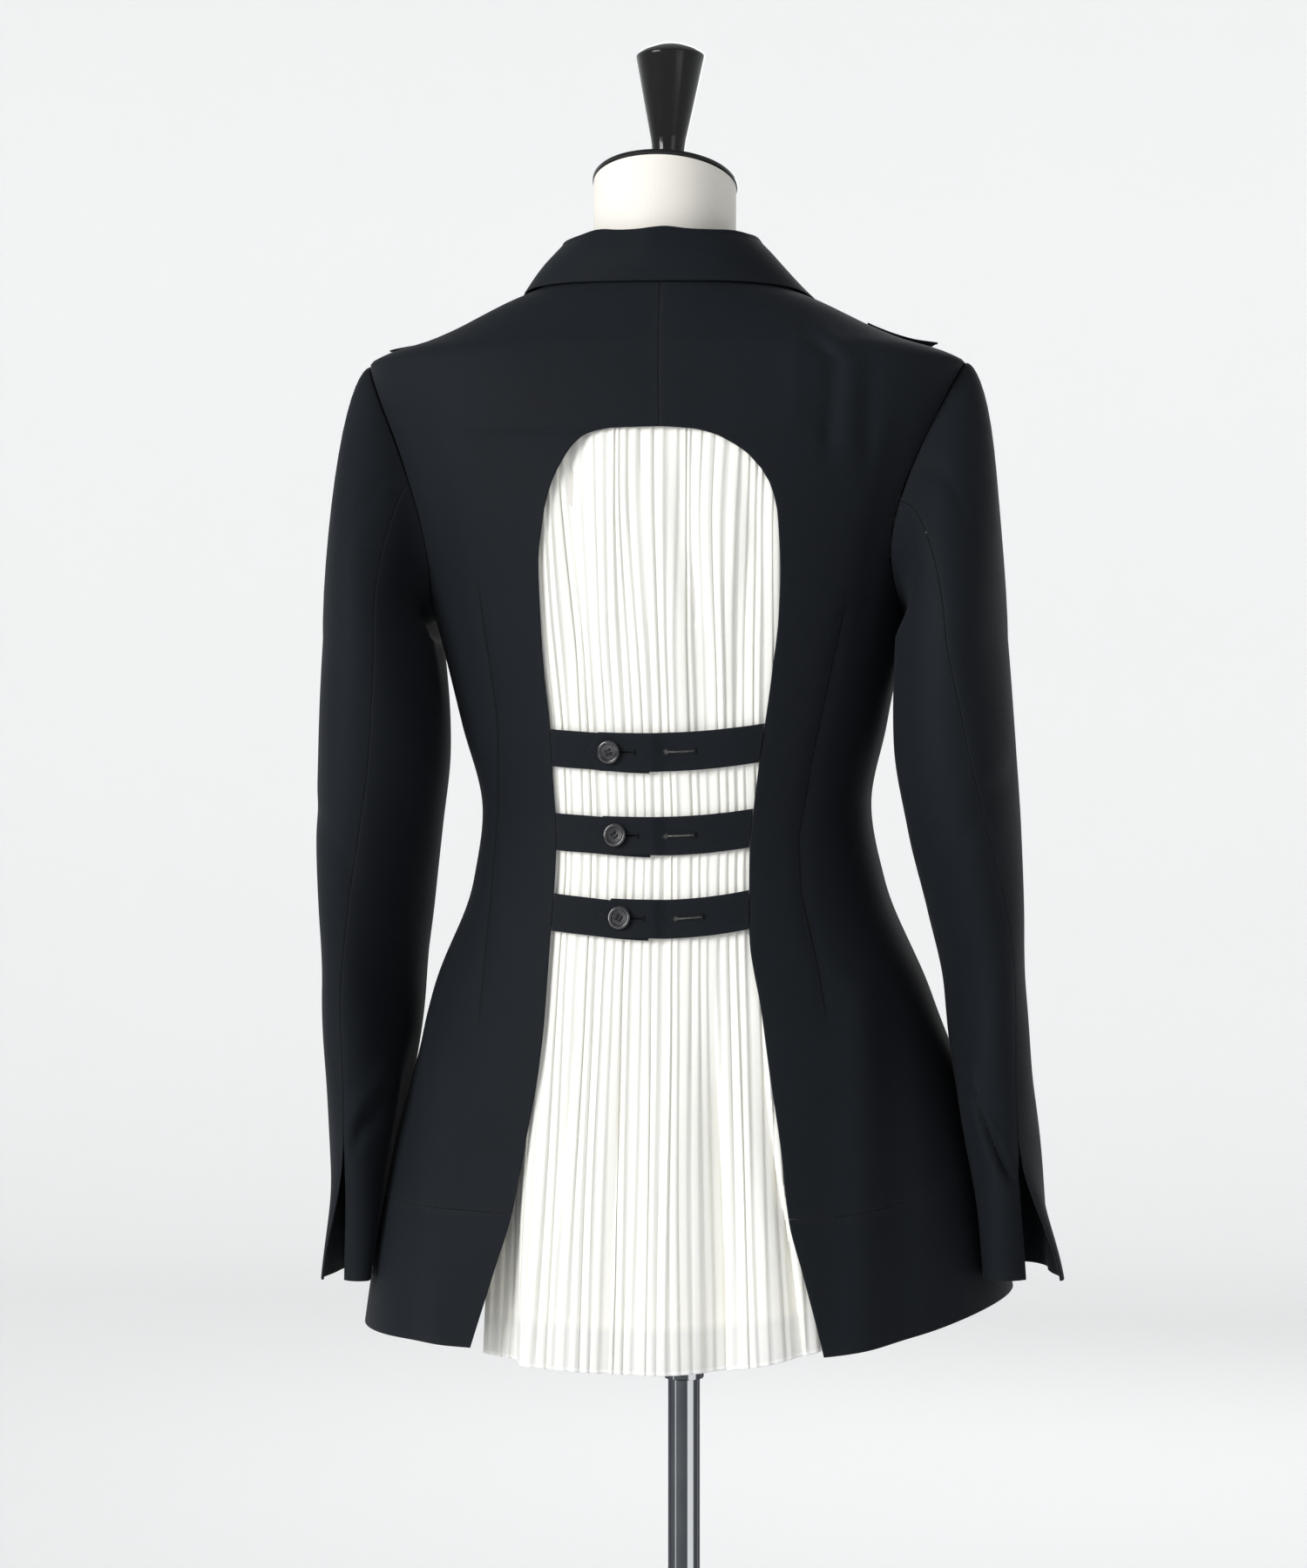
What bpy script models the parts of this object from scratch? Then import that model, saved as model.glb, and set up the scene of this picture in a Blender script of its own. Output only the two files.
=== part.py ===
"""A tailored black jacket with an open back, worn on a limbless dress form.

Metres, +Z up. +Y is the garment's front and +X its wearer's right, so the back faces -Y. The origin is
on the floor, under the form's pole. Side is +1 for the wearer's right and -1 for the wearer's left.

The cloth follows one skin, a stack of rounded rings. A place on it is a height and a turn: -1 at the
centre back, 0 at the side seam and +1 at the centre front, past which it carries on round.
"""

from bisect import bisect
from collections import namedtuple
from functools import cache
from math import acos, asin, cos, pi, radians, sin, sqrt, tan

import bmesh
import bpy
import numpy as np
from mathutils import Matrix, Vector

SIDES = {"left": -1, "right": 1}

# Cloth
WALL = 0.0015
SEAM_GAP = 0.0004
LAID_ON = 0.0022  # outer face of a piece above the outer face that it lies on
ROUND = 2.3  # power of the rings' rounded outline, 2 for an ellipse

# Heights
PLEAT_HEM_Z = 0.6125
HEM_Z = 0.625
BAND_Z = 0.7125
NECK_Z = 1.3267
SHOULDER_TIP_Z = 1.268

Ring = namedtuple("Ring", "z half_width back front middle")
BODY = (
    Ring(0.600, 0.2240, 0.173, 0.150, 0.0200),
    Ring(0.625, 0.2204, 0.170, 0.148, 0.0180),
    Ring(0.655, 0.2155, 0.165, 0.145, 0.0155),
    Ring(0.700, 0.2070, 0.158, 0.140, 0.0120),
    Ring(0.780, 0.1890, 0.142, 0.128, 0.0040),
    Ring(0.838, 0.1717, 0.127, 0.122, -0.0045),
    Ring(0.856, 0.1660, 0.122, 0.120, -0.0080),
    Ring(0.926, 0.1380, 0.101, 0.108, -0.0200),
    Ring(0.975, 0.1300, 0.090, 0.104, -0.0280),
    Ring(1.030, 0.1420, 0.090, 0.120, -0.0340),
    Ring(1.100, 0.1580, 0.094, 0.150, -0.0400),
    Ring(1.160, 0.1740, 0.095, 0.150, -0.0440),
    Ring(1.190, 0.1830, 0.092, 0.140, -0.0460),
    Ring(1.220, 0.1900, 0.088, 0.128, -0.0480),
    Ring(1.250, 0.1965, 0.082, 0.112, -0.0510),
    Ring(1.268, 0.1995, 0.077, 0.102, -0.0520),
    Ring(1.275, 0.1870, 0.0755, 0.098, -0.0520),
    Ring(1.282, 0.1625, 0.073, 0.091, -0.0520),
    Ring(1.2905, 0.1410, 0.070, 0.082, -0.0520),
    Ring(1.299, 0.1235, 0.067, 0.070, -0.0520),
    Ring(1.3075, 0.1060, 0.064, 0.062, -0.0520),
    Ring(1.317, 0.0835, 0.060, 0.054, -0.0520),
    Ring(1.3267, 0.0660, 0.054, 0.046, -0.0520),
)

# How the form and the jacket stand: the shoulders lean to the left and rise on that side, and the skirt
# kicks up over the right hip.
LEAN = 0.004
TILT = 0.0128
KICK = 0.022
KICK_X = (0.110, 0.210)
KICK_POWER = 1.5
KICK_Z = (0.72, 0.88)  # between these heights the kick dies away

# The arched opening in the back, which flares into a split: the distance of each edge from the centre.
OpeningRow = namedtuple("OpeningRow", "z left right")
OPENING_TOP_Z = 1.2195
OPENING = (
    OpeningRow(0.600, 0.1245, 0.1180),
    OpeningRow(0.625, 0.1179, 0.1129),
    OpeningRow(0.677, 0.1013, 0.0995),
    OpeningRow(0.711, 0.0905, 0.0903),
    OpeningRow(0.757, 0.0820, 0.0845),
    OpeningRow(0.811, 0.0733, 0.0759),
    OpeningRow(0.845, 0.0702, 0.0709),
    OpeningRow(0.894, 0.0680, 0.0625),
    OpeningRow(0.945, 0.0660, 0.0616),
    OpeningRow(0.996, 0.0680, 0.0670),
    OpeningRow(1.029, 0.0689, 0.0722),
    OpeningRow(1.063, 0.0717, 0.0775),
    OpeningRow(1.096, 0.0728, 0.0820),
    OpeningRow(1.130, 0.0734, 0.0837),
    OpeningRow(1.163, 0.0694, 0.0826),
    OpeningRow(1.180, 0.0651, 0.0790),
    OpeningRow(1.197, 0.0571, 0.0688),
    OpeningRow(1.2133, 0.0435, 0.0456),
    OpeningRow(1.2185, 0.0250, 0.0260),
    OpeningRow(1.2195, -0.0070, 0.0070),
)
CENTRE_SEAM_X = ((OPENING_TOP_Z, 0.0108), (NECK_Z, 0.0067))  # the centre back seam, right of the centre

# The front edge, or roll line above the button: its distance from the centre, past it where negative.
EdgeRow = namedtuple("EdgeRow", "z x")
LAP = 0.018
LAP_LIFT = 0.0028
LAP_KNEE = 0.042  # width of the flat strip along each front edge
LAP_END_Z = (1.055, 1.110)  # between these heights the fronts stop lapping
FRONT_EDGE = (
    EdgeRow(0.600, -LAP),
    EdgeRow(1.020, -LAP),
    EdgeRow(1.050, 0.000),
    EdgeRow(1.100, 0.016),
    EdgeRow(1.160, 0.030),
    EdgeRow(1.220, 0.045),
    EdgeRow(1.280, 0.058),
    EdgeRow(1.3075, 0.062),
    EdgeRow(1.3267, 0.066),
)
LAPEL_EDGE = (
    EdgeRow(1.058, 0.014),
    EdgeRow(1.075, 0.032),
    EdgeRow(1.100, 0.055),
    EdgeRow(1.150, 0.083),
    EdgeRow(1.190, 0.100),
    EdgeRow(1.212, 0.104),
    EdgeRow(1.222, 0.088),
    EdgeRow(1.232, 0.071),
    EdgeRow(1.240, 0.057),
)

# Armhole
ARMHOLE_Z = 1.184
ARMHOLE_HALF_HEIGHT = 0.084
ARMHOLE_REACH = {-1: 0.047, 1: 0.050}  # to the back and to the front
ARMHOLE_TAPER = 0.28

PANEL_ROWS = {
    "skirt": (0.740, 0.780, 0.820, 0.860, 0.900, 0.938, 0.975, 1.010, 1.040, 1.070),
    "armhole": (1.100, 1.1012, 1.105, 1.115, 1.135, 1.160, 1.180, 1.197, 1.207),
    "arch": (1.2133, 1.2170, 1.2195, 1.229, 1.242, 1.254, 1.2635, 1.268),
    "shoulder": (1.275, 1.282, 1.2905, 1.299, 1.3075, 1.317),
}
BACK_COLUMNS = 7
FRONT_COLUMNS = 8
BAND_COLUMNS = 18
LAPEL_ROWS = (1.058, 1.070, 1.100, 1.115, 1.135, 1.160, 1.180, 1.197, 1.212, 1.222, 1.232, 1.240)

# Sleeve
SleeveRing = namedtuple("SleeveRing", "z x y half_long half_short twist")
SLEEVE = (
    SleeveRing(0.6575, 0.2150, -0.018, 0.0520, 0.0235, -4),
    SleeveRing(0.7130, 0.2130, -0.021, 0.0535, 0.0245, 0),
    SleeveRing(0.7840, 0.2090, -0.028, 0.0570, 0.0270, 6),
    SleeveRing(0.8545, 0.2060, -0.034, 0.0600, 0.0265, 12),
    SleeveRing(0.9070, 0.2017, -0.046, 0.0630, 0.0312, 11),
    SleeveRing(0.9600, 0.1955, -0.061, 0.0665, 0.0367, 8),
    SleeveRing(1.0135, 0.1905, -0.066, 0.0700, 0.0400, 6),
    SleeveRing(1.0850, 0.1890, -0.062, 0.0740, 0.0370, 4),
)
CUFF_Z = SLEEVE[0].z
SLEEVE_TOP_Z = SLEEVE[-1].z
CAP_STEPS = (0, 0.04, 0.12, 0.24, 0.40, 0.60, 0.82)
CAP_LEAD = 0.017  # how squarely the sleeve's head stands out from the armhole
CAP_LEAD_SHARE = 0.35  # at most this share of the way down the head
CAP_SPREAD = 0.6  # how much the head spreads to its back and front
CAP_SPRING = 0.15  # how much it springs up
CAP_FALL = 0.4  # how straight it falls into the sleeve
SLEEVE_ROWS = (1.085, 1.048, 1.0135, 0.980, 0.945, 0.907, 0.870, 0.830, 0.790)
VENT_ROWS = (0.762, 0.740, 0.715, 0.685, CUFF_Z)
VENT_Z = VENT_ROWS[0]
VENT_FLARE = {-1: 0.014, 1: 0.023}
VENT_SPREAD = 10  # degrees that the under sleeve's edge draws back at the cuff
CUFF_SHIFT = {-1: -0.003, 1: 0.008}  # how far the cuff swings out from the body
CUFF_RISE = {-1: 0.0, 1: 0.010}
BackSeam = namedtuple("BackSeam", "z left right")
BACK_SEAM = (
    BackSeam(0.6575, 52, 40),
    BackSeam(0.765, 84, 60),
    BackSeam(0.870, 100, 58),
    BackSeam(0.935, 106, 68),
    BackSeam(1.030, 110, 82),
    BackSeam(1.085, 112, 92),
    BackSeam(1.268, 88, 97),
)
FRONT_SEAM_GAP = 0.65  # degrees from each sleeve piece to the seam between them
BACK_SEAM_GAP = 1.45
FRONT_SEAM = 225  # degrees round the sleeve, where 0 is its outer side and 90 its back
SLEEVE_CLEAR = 0.0030
SLEEVE_SOFT = 0.006  # how roundly a sleeve gives way to the body

# Collar, from the centre back to the gorge
Station = namedtuple("Station", "along fold_x fold_y fold_z leaf_turn leaf_z seam_turn seam_z")
COLLAR = (
    Station(0.00, 0.0000, -0.1130, 1.3500, -1.000, 1.3146, -1.00, NECK_Z),
    Station(0.18, 0.0360, -0.1045, 1.3495, -0.660, 1.3146, -0.62, NECK_Z),
    Station(0.33, 0.0612, -0.0780, 1.3475, -0.330, 1.3140, -0.27, NECK_Z),
    Station(0.45, 0.0690, -0.0520, 1.3430, 0.000, 1.3121, 0.00, NECK_Z),
    Station(0.60, 0.0690, -0.0040, 1.3268, 0.312, 1.3040, 0.00, 1.3147),
    Station(0.80, 0.0615, 0.0335, 1.2962, 0.686, 1.2760, 0.00, 1.2870),
    Station(1.00, 0.0530, 0.0610, 1.2565, 0.750, 1.2480, 0.00, 1.2520),
)
COLLAR_COLUMNS = 12
FOLD_RADIUS = 0.0022
LEAF_BULGE = 0.003
LEAF_EASE = 0.0012  # how much more the leaf stands off the fronts than off the back

# Pleated panel and the smooth underlay behind it
PLEATS = 34
PLEAT_WALL = 0.0011
PLEAT_DEPTH = 0.003
PLEAT_CREST = 0.7  # where in its pitch a pleat's crest lies
PLEAT_ROWS = (PLEAT_HEM_Z, 0.645, 0.700, 0.780, 0.860, 0.900, 0.938, 0.957, 0.975, 1.010, 1.070, 1.160, 1.235)
PANEL_WIDTH = ((PLEAT_HEM_Z, 0.254), (0.780, 0.228), (0.930, 0.206), (1.240, 0.206))
PLEAT_HEM_RISES = {-1: 0.0040 / 0.100**2, 1: 0.0165 / 0.115**2}  # curve of the hem on each side
PLEAT_HEM_FADE_Z = 0.780
WAVES_FROM_Z = 0.930
WaveRow = namedtuple("WaveRow", "x depth")
WAVES = (
    WaveRow(-0.1280, 0.0240),
    WaveRow(-0.0960, 0.0240),
    WaveRow(-0.0886, 0.0020),
    WaveRow(-0.0790, 0.0000),
    WaveRow(-0.0566, 0.0000),
    WaveRow(-0.0114, 0.0040),
    WaveRow(0.0111, 0.0000),
    WaveRow(0.0461, 0.0120),
    WaveRow(0.0731, 0.0000),
    WaveRow(0.1154, 0.0040),
    WaveRow(0.1280, 0.0100),
)
UnderlayRow = namedtuple("UnderlayRow", "z depth half_width")
UNDERLAY = (
    UnderlayRow(0.6435, 0.0330, 0.112),
    UnderlayRow(0.7200, 0.0250, 0.104),
    UnderlayRow(0.7800, 0.0195, 0.101),
    UnderlayRow(0.8600, 0.0130, 0.098),
    UnderlayRow(0.9260, 0.0080, 0.096),
    UnderlayRow(0.9750, 0.0071, 0.096),
    UnderlayRow(1.2150, 0.0072, 0.096),
)
UNDERLAY_ROWS = (0.6435, 0.700, 0.780, 0.860, 0.900, 0.938, 0.957, 0.975, 1.010, 1.070, 1.160, 1.215)
UNDERLAY_COLUMNS = 12

# Back straps
Strap = namedtuple("Strap", "left_z middle_z right_z tip_x button_x")
STRAPS = (
    Strap(1.0136, 1.0105, 1.0160, -0.0434, -0.0274),
    Strap(0.9590, 0.9563, 0.9613, -0.0421, -0.0247),
    Strap(0.9070, 0.9028, 0.9093, -0.0356, -0.0207),
)
STRAP_HALF = 0.0125
STRAP_POINT = 0.009  # length of the arrow end
STRAP_LIFT = 0.0019
STRAP_STAND = 0.0006  # how far the straps stand off the skin
UNDER_STRAP_END_X = -0.002
UNDER_STRAP_DROP = 0.0016

BUTTON_RADIUS = 0.0075
BUTTON_HEIGHT = 0.003
FRONT_BUTTON_RADIUS = 0.010
FRONT_BUTTON_Z = 1.028
BUTTON_GAP = 0.0003

# Plain flap over the front of each shoulder
FLAP_X = (0.134, 0.187)
FLAP_TAPER = 0.014
FLAP_START_Y = 0.003
FLAP_DROP_Y = 0.042
FLAP_RISE = 0.003
FLAP_LIFT = 0.0005

# Dress form
FormRing = namedtuple("FormRing", "z half_width back_y front_y")
NECK_Y = -0.052
TORSO = (
    FormRing(0.720, 0.146, -0.106, 0.078),
    FormRing(0.740, 0.154, -0.111, 0.084),
    FormRing(0.780, 0.160, -0.114, 0.088),
    FormRing(0.856, 0.148, -0.112, 0.080),
    FormRing(0.926, 0.122, -0.105, 0.066),
    FormRing(0.975, 0.114, -0.103, 0.060),
    FormRing(1.030, 0.126, -0.111, 0.074),
    FormRing(1.100, 0.140, -0.122, 0.100),
    FormRing(1.160, 0.150, -0.126, 0.096),
    FormRing(1.220, 0.163, -0.1245, 0.072),
    FormRing(1.250, 0.168, -0.1245, 0.052),
    FormRing(1.272, 0.167, -0.1230, 0.036),
    FormRing(1.282, 0.1525, -0.1205, 0.030),
    FormRing(1.2905, 0.1325, -0.1180, 0.024),
    FormRing(1.299, 0.1142, -0.1150, 0.014),
    FormRing(1.3075, 0.0972, -0.1120, 0.006),
    FormRing(1.317, 0.0762, -0.1085, -0.001),
    FormRing(1.325, 0.0586, -0.1043, -0.003),
)
NECK_HALF_WIDTH = 0.0472
NECK_HALF_DEPTH = 0.0502
NECK_RINGS = (1.337, 1.362)
NECK_TOP_Z = 1.386
NECK_SLOPE = radians(15)
FORM_COLUMNS = 24
CAP_HEIGHT = 0.0035
CAP_OVER = 0.0008
KNOB_TOP_Z = 1.481
KNOB_ASIDE = (0.0018, 0.0040)  # how far right of the neck its foot and its top stand
TurnedRow = namedtuple("TurnedRow", "radius z")
KNOB = (
    TurnedRow(0.0118, 1.3905),
    TurnedRow(0.0124, 1.3935),
    TurnedRow(0.0117, 1.3970),
    TurnedRow(0.0112, 1.4100),
    TurnedRow(0.0121, 1.4260),
    TurnedRow(0.0147, 1.4420),
    TurnedRow(0.0182, 1.4550),
    TurnedRow(0.0208, 1.4640),
    TurnedRow(0.0215, 1.4695),
    TurnedRow(0.0205, 1.4735),
    TurnedRow(0.0175, 1.4765),
    TurnedRow(0.0110, 1.4795),
    TurnedRow(0.0040, KNOB_TOP_Z),
)
POLE_RADIUS = 0.01075
POLE_COLLAR_RADIUS = 0.0135
POLE_COLLAR_Z = 0.588
BASE_TOP_Z = 0.018
BASE = (
    TurnedRow(0.0000, BASE_TOP_Z),
    TurnedRow(0.0280, BASE_TOP_Z),
    TurnedRow(0.0340, 0.0160),
    TurnedRow(0.0480, 0.0115),
    TurnedRow(0.1100, 0.0095),
    TurnedRow(0.1720, 0.0075),
    TurnedRow(0.1785, 0.0055),
    TurnedRow(0.1800, 0.0030),
    TurnedRow(0.1795, 0.0000),
    TurnedRow(0.0000, 0.0000),
)

Finish = namedtuple("Finish", "colour roughness metallic")
FINISHES = {
    "suiting": Finish((0.012, 0.013, 0.016), 0.75, 0),
    "pleated_cloth": Finish((0.86, 0.83, 0.77), 0.8, 0),
    "underlay_cloth": Finish((0.62, 0.60, 0.56), 0.85, 0),
    "horn": Finish((0.03, 0.03, 0.033), 0.25, 0),
    "form_cloth": Finish((0.80, 0.76, 0.69), 0.85, 0),
    "black_lacquer": Finish((0.008, 0.008, 0.009), 0.12, 0),
    "chrome": Finish((0.75, 0.75, 0.76), 0.12, 1),
}


def smooth(rows):
    """A function of the rows' first column that runs through every row with no overshoot."""
    kind = type(rows[0])
    keys = [row[0] for row in rows]
    values = [np.array(row[1:], float) for row in rows]
    spans = np.diff(keys)
    steps = [(after - before) / span for before, after, span in zip(values, values[1:], spans)]
    slopes = [steps[0]]
    for before, after in zip(steps, steps[1:]):
        total = before + after
        safe = np.where(total == 0, 1, total)
        slopes.append(np.where(before * after > 0, 2 * before * after / safe, 0))
    slopes.append(steps[-1])

    @cache
    def value(key):
        i = min(max(bisect(keys, key) - 1, 0), len(keys) - 2)
        t = min(max((key - keys[i]) / spans[i], 0), 1)
        ends = values[i] * (1 + 2 * t) * (1 - t) ** 2 + values[i + 1] * t * t * (3 - 2 * t)
        bend = slopes[i] * t * (1 - t) ** 2 - slopes[i + 1] * t * t * (1 - t)
        found = ends + spans[i] * bend
        return kind(key, *map(float, found))

    return value


body_at = smooth(BODY)
opening_at = smooth(OPENING)
front_edge_at = smooth(FRONT_EDGE)
lapel_edge_at = smooth(LAPEL_EDGE)
sleeve_at = smooth(SLEEVE)
back_seam_at = smooth(BACK_SEAM)
collar_at = smooth(COLLAR)
underlay_at = smooth(UNDERLAY)


def eased(low, high, value):
    """0 up to low, 1 from high on, and smooth between."""
    t = min(max((value - low) / (high - low), 0), 1)
    return t * t * (3 - 2 * t)


def mixed(low, high, t):
    return low + (high - low) * t


def soft_max(one, other, width):
    return (one + other + sqrt((one - other) ** 2 + width**2)) / 2


# The skin that the cloth follows


def on_ring(ring, side, turn):
    angle = turn * pi / 2
    across = abs(cos(angle)) ** (2 / ROUND)
    if cos(angle) < 0:
        across = -across
    along = abs(sin(angle)) ** (2 / ROUND)
    reach = ring.front if turn > 0 else -ring.back
    return Vector((side * ring.half_width * across, ring.middle + reach * along, ring.z))


def skin(z, side, turn, lift=0.0):
    """The point at this place, lifted off the skin along its outward normal."""
    point = on_ring(body_at(z), side, turn)
    kick = Vector((0, 0, hem_kick(point)))
    if not lift:
        return point + kick
    step = 0.0005
    middle_z = min(z, NECK_Z - step)
    along_turn = on_ring(body_at(z), side, turn + step) - on_ring(body_at(z), side, turn - step)
    along_z = on_ring(body_at(middle_z + step), side, turn) - on_ring(body_at(middle_z - step), side, turn)
    return point + kick + along_turn.cross(along_z).normalized() * side * lift


def hem_kick(point):
    share = max(point.x - KICK_X[0], 0) / (KICK_X[1] - KICK_X[0])
    return KICK * share**KICK_POWER * (1 - eased(*KICK_Z, point.z))


def leaned(z):
    return LEAN * eased(0.95, 1.20, z)


def worn(point):
    """Where a point of the upright, even form and jacket ends up."""
    x, y, z = point
    tilt = TILT * eased(1.05, 1.20, z) * (1 - eased(NECK_Z, 1.345, z))
    return (x - leaned(z), y, z - tilt * x)


def turn_at_x(z, x, face):
    """The turn at a distance from the centre, on the back (face -1) or the front (+1)."""
    share = min(abs(x) / body_at(z).half_width, 1)
    turn = acos(share ** (ROUND / 2)) / (pi / 2)
    return face * (turn if x >= 0 else 2 - turn)


def turn_at_reach(z, reach, face):
    """The turn at a distance behind (face -1) or before (+1) the side."""
    ring = body_at(z)
    share = reach / (ring.front if face > 0 else ring.back)
    return face * asin(min(share, 1) ** (ROUND / 2)) / (pi / 2)


def width_at(y, z):
    """How far the skin reaches to the side at this depth."""
    ring = body_at(z)
    reach = ring.front if y > ring.middle else ring.back
    share = min(abs(y - ring.middle) / reach, 1)
    return ring.half_width * (1 - share**ROUND) ** (1 / ROUND)


def height_at(x, y):
    """The height of the shoulder above a place on the floor, found by halving."""
    low, high = ARMHOLE_Z, NECK_Z
    for _ in range(30):
        middle = (low + high) / 2
        if width_at(y, middle) > abs(x):
            low = middle
        else:
            high = middle
    return low


def armhole_reach(z, face, inset=0.0):
    share = (z - ARMHOLE_Z) / (ARMHOLE_HALF_HEIGHT - inset)
    if abs(share) >= 1:
        return 0
    return ARMHOLE_REACH[face] * sqrt(1 - share * share) * (1 - ARMHOLE_TAPER * share) - inset


def outer_turn(z, face):
    """The side seam, the armhole's edge or the shoulder seam, whichever is at this height."""
    return turn_at_reach(z, max(armhole_reach(z, face), SEAM_GAP / 2), face)


# Building objects


def clear_scene():
    for thing in list(bpy.data.objects):
        bpy.data.objects.remove(thing, do_unlink=True)


def new_collection(name):
    collection = bpy.data.collections.new(name)
    bpy.context.scene.collection.children.link(collection)
    return collection


def new_material(name, finish):
    material = bpy.data.materials.new(name)
    material.use_nodes = True
    shader = material.node_tree.nodes["Principled BSDF"]
    shader.inputs["Base Color"].default_value = (*finish.colour, 1)
    shader.inputs["Roughness"].default_value = finish.roughness
    shader.inputs["Metallic"].default_value = finish.metallic
    return material


def new_object(name, points, faces, material):
    mesh = bpy.data.meshes.new(name)
    mesh.from_pydata([worn(point) for point in points], [], faces)
    mesh.shade_smooth()
    mesh.set_sharp_from_angle(angle=radians(40))
    mesh.materials.append(materials[material])
    thing = bpy.data.objects.new(name, mesh)
    parts.objects.link(thing)
    return thing


def grid_faces(rows, columns, flip=False, closed=False):
    faces = []
    for row in range(rows - 1):
        for column in range(columns if closed else columns - 1):
            after = (column + 1) % columns
            face = (
                row * columns + column,
                row * columns + after,
                (row + 1) * columns + after,
                (row + 1) * columns + column,
            )
            faces.append(face[::-1] if flip else face)
    return faces


def cloth(name, rows, flip=False, material="suiting", wall=WALL):
    """A sheet through rows of points, thickened behind its visible face."""
    points = [point for row in rows for point in row]
    thing = new_object(name, points, grid_faces(len(rows), len(rows[0]), flip), material)
    solidify = thing.modifiers.new("Wall", "SOLIDIFY")
    solidify.thickness = wall
    solidify.offset = -1
    return thing


def lofted(name, rings, material):
    """A closed solid through rings that run anticlockwise, from its foot to its top."""
    count = len(rings[0])
    points = [point for ring in rings for point in ring]
    faces = grid_faces(len(rings), count, closed=True)
    faces.append(tuple(reversed(range(count))))
    faces.append(tuple(range(len(points) - count, len(points))))
    return new_object(name, points, faces, material)


def turned(name, profile, material, steps):
    """A profile from the top of the axis, down the outer side, to the foot of the axis."""
    points = [(row.radius, 0, row.z) for row in profile]
    edges = [(i, i + 1) for i in range(len(points) - 1)]
    mesh = bpy.data.meshes.new(name)
    mesh.from_pydata(points, edges, [])
    mesh.materials.append(materials[material])
    thing = bpy.data.objects.new(name, mesh)
    parts.objects.link(thing)
    screw = thing.modifiers.new("Turn", "SCREW")
    screw.steps = steps
    screw.render_steps = steps
    screw.use_merge_vertices = True
    screw.merge_threshold = 0.0001
    screw.use_smooth_shade = True
    return thing


# The jacket


def opening_edge(z, side):
    """How far the opening's edge lies to its side. The edge stays where it is as the jacket leans."""
    row = opening_at(z)
    return (row.left if side < 0 else row.right) + side * leaned(z)


def back_inner_turn(z, side):
    """The opening's edge, or the centre back seam above it."""
    seam_x = side * float(np.interp(z, *zip(*CENTRE_SEAM_X))) + SEAM_GAP / 2
    if z >= OPENING_TOP_Z:
        return turn_at_x(z, seam_x, -1)
    return turn_at_x(z, max(opening_edge(z, side), seam_x), -1)


def back_panel(name, side):
    heights = [BAND_Z + SEAM_GAP, *PANEL_ROWS["skirt"], *PANEL_ROWS["armhole"], *PANEL_ROWS["arch"]]
    heights += [*PANEL_ROWS["shoulder"], NECK_Z]
    rows = []
    for z in heights:
        inner, outer = back_inner_turn(z, side), outer_turn(z, -1)
        rows.append([skin(z, side, mixed(inner, outer, k / BACK_COLUMNS)) for k in range(BACK_COLUMNS + 1)])
    return cloth(name, rows, flip=side < 0)


def front_lap(z, side, turn):
    """The right front rises over the left one where they lap."""
    if side < 0:
        return 0
    x = on_ring(body_at(z), side, turn).x
    return LAP_LIFT * (1 - eased(LAP_KNEE - LAP, 2 * LAP_KNEE - LAP, x)) * (1 - eased(*LAP_END_Z, z))


def front_inner_turn(z):
    return turn_at_x(z, front_edge_at(z).x, 1)


def front_row(z, side, start, columns):
    """Even columns, but where the fronts lap the last is the flat strip along the edge."""
    end = front_inner_turn(z)
    knee = turn_at_x(z, LAP_KNEE - LAP, 1)
    lapped = 1 - eased(1.05, 1.12, z)
    turns = []
    for k in range(columns):
        even = mixed(start, end, k / columns)
        turns.append(mixed(even, mixed(start, knee, k / (columns - 1)), lapped))
    turns.append(end)
    return [skin(z, side, turn, front_lap(z, side, turn) if turn > 0 else 0) for turn in turns]


def front_panel(name, side):
    heights = [BAND_Z + SEAM_GAP, *PANEL_ROWS["skirt"], *PANEL_ROWS["armhole"], *PANEL_ROWS["arch"]]
    heights += [*PANEL_ROWS["shoulder"][:-1], 1.3155, 1.3225]
    heights = [z for z in heights if z not in (1.2133, 1.2195)]
    rows = [front_row(z, side, outer_turn(z, 1), FRONT_COLUMNS) for z in heights]
    return cloth(name, rows, flip=side < 0)


def hem_band(name, side):
    rows = []
    for z in (HEM_Z, 0.650, 0.675, BAND_Z):
        rows.append(front_row(z, side, back_inner_turn(z, side), BAND_COLUMNS))
    return cloth(name, rows, flip=side < 0)


def lapel(name, side):
    rows = []
    columns = 5
    for z in LAPEL_ROWS:
        start = turn_at_x(z, lapel_edge_at(z).x, 1)
        end = turn_at_x(z, front_edge_at(z).x + SEAM_GAP, 1)
        turns = [mixed(start, end, k / columns) for k in range(columns + 1)]
        rows.append([skin(z, side, turn, front_lap(z, side, turn) + LAID_ON) for turn in turns])
    return cloth(name, rows, flip=side < 0)


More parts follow.
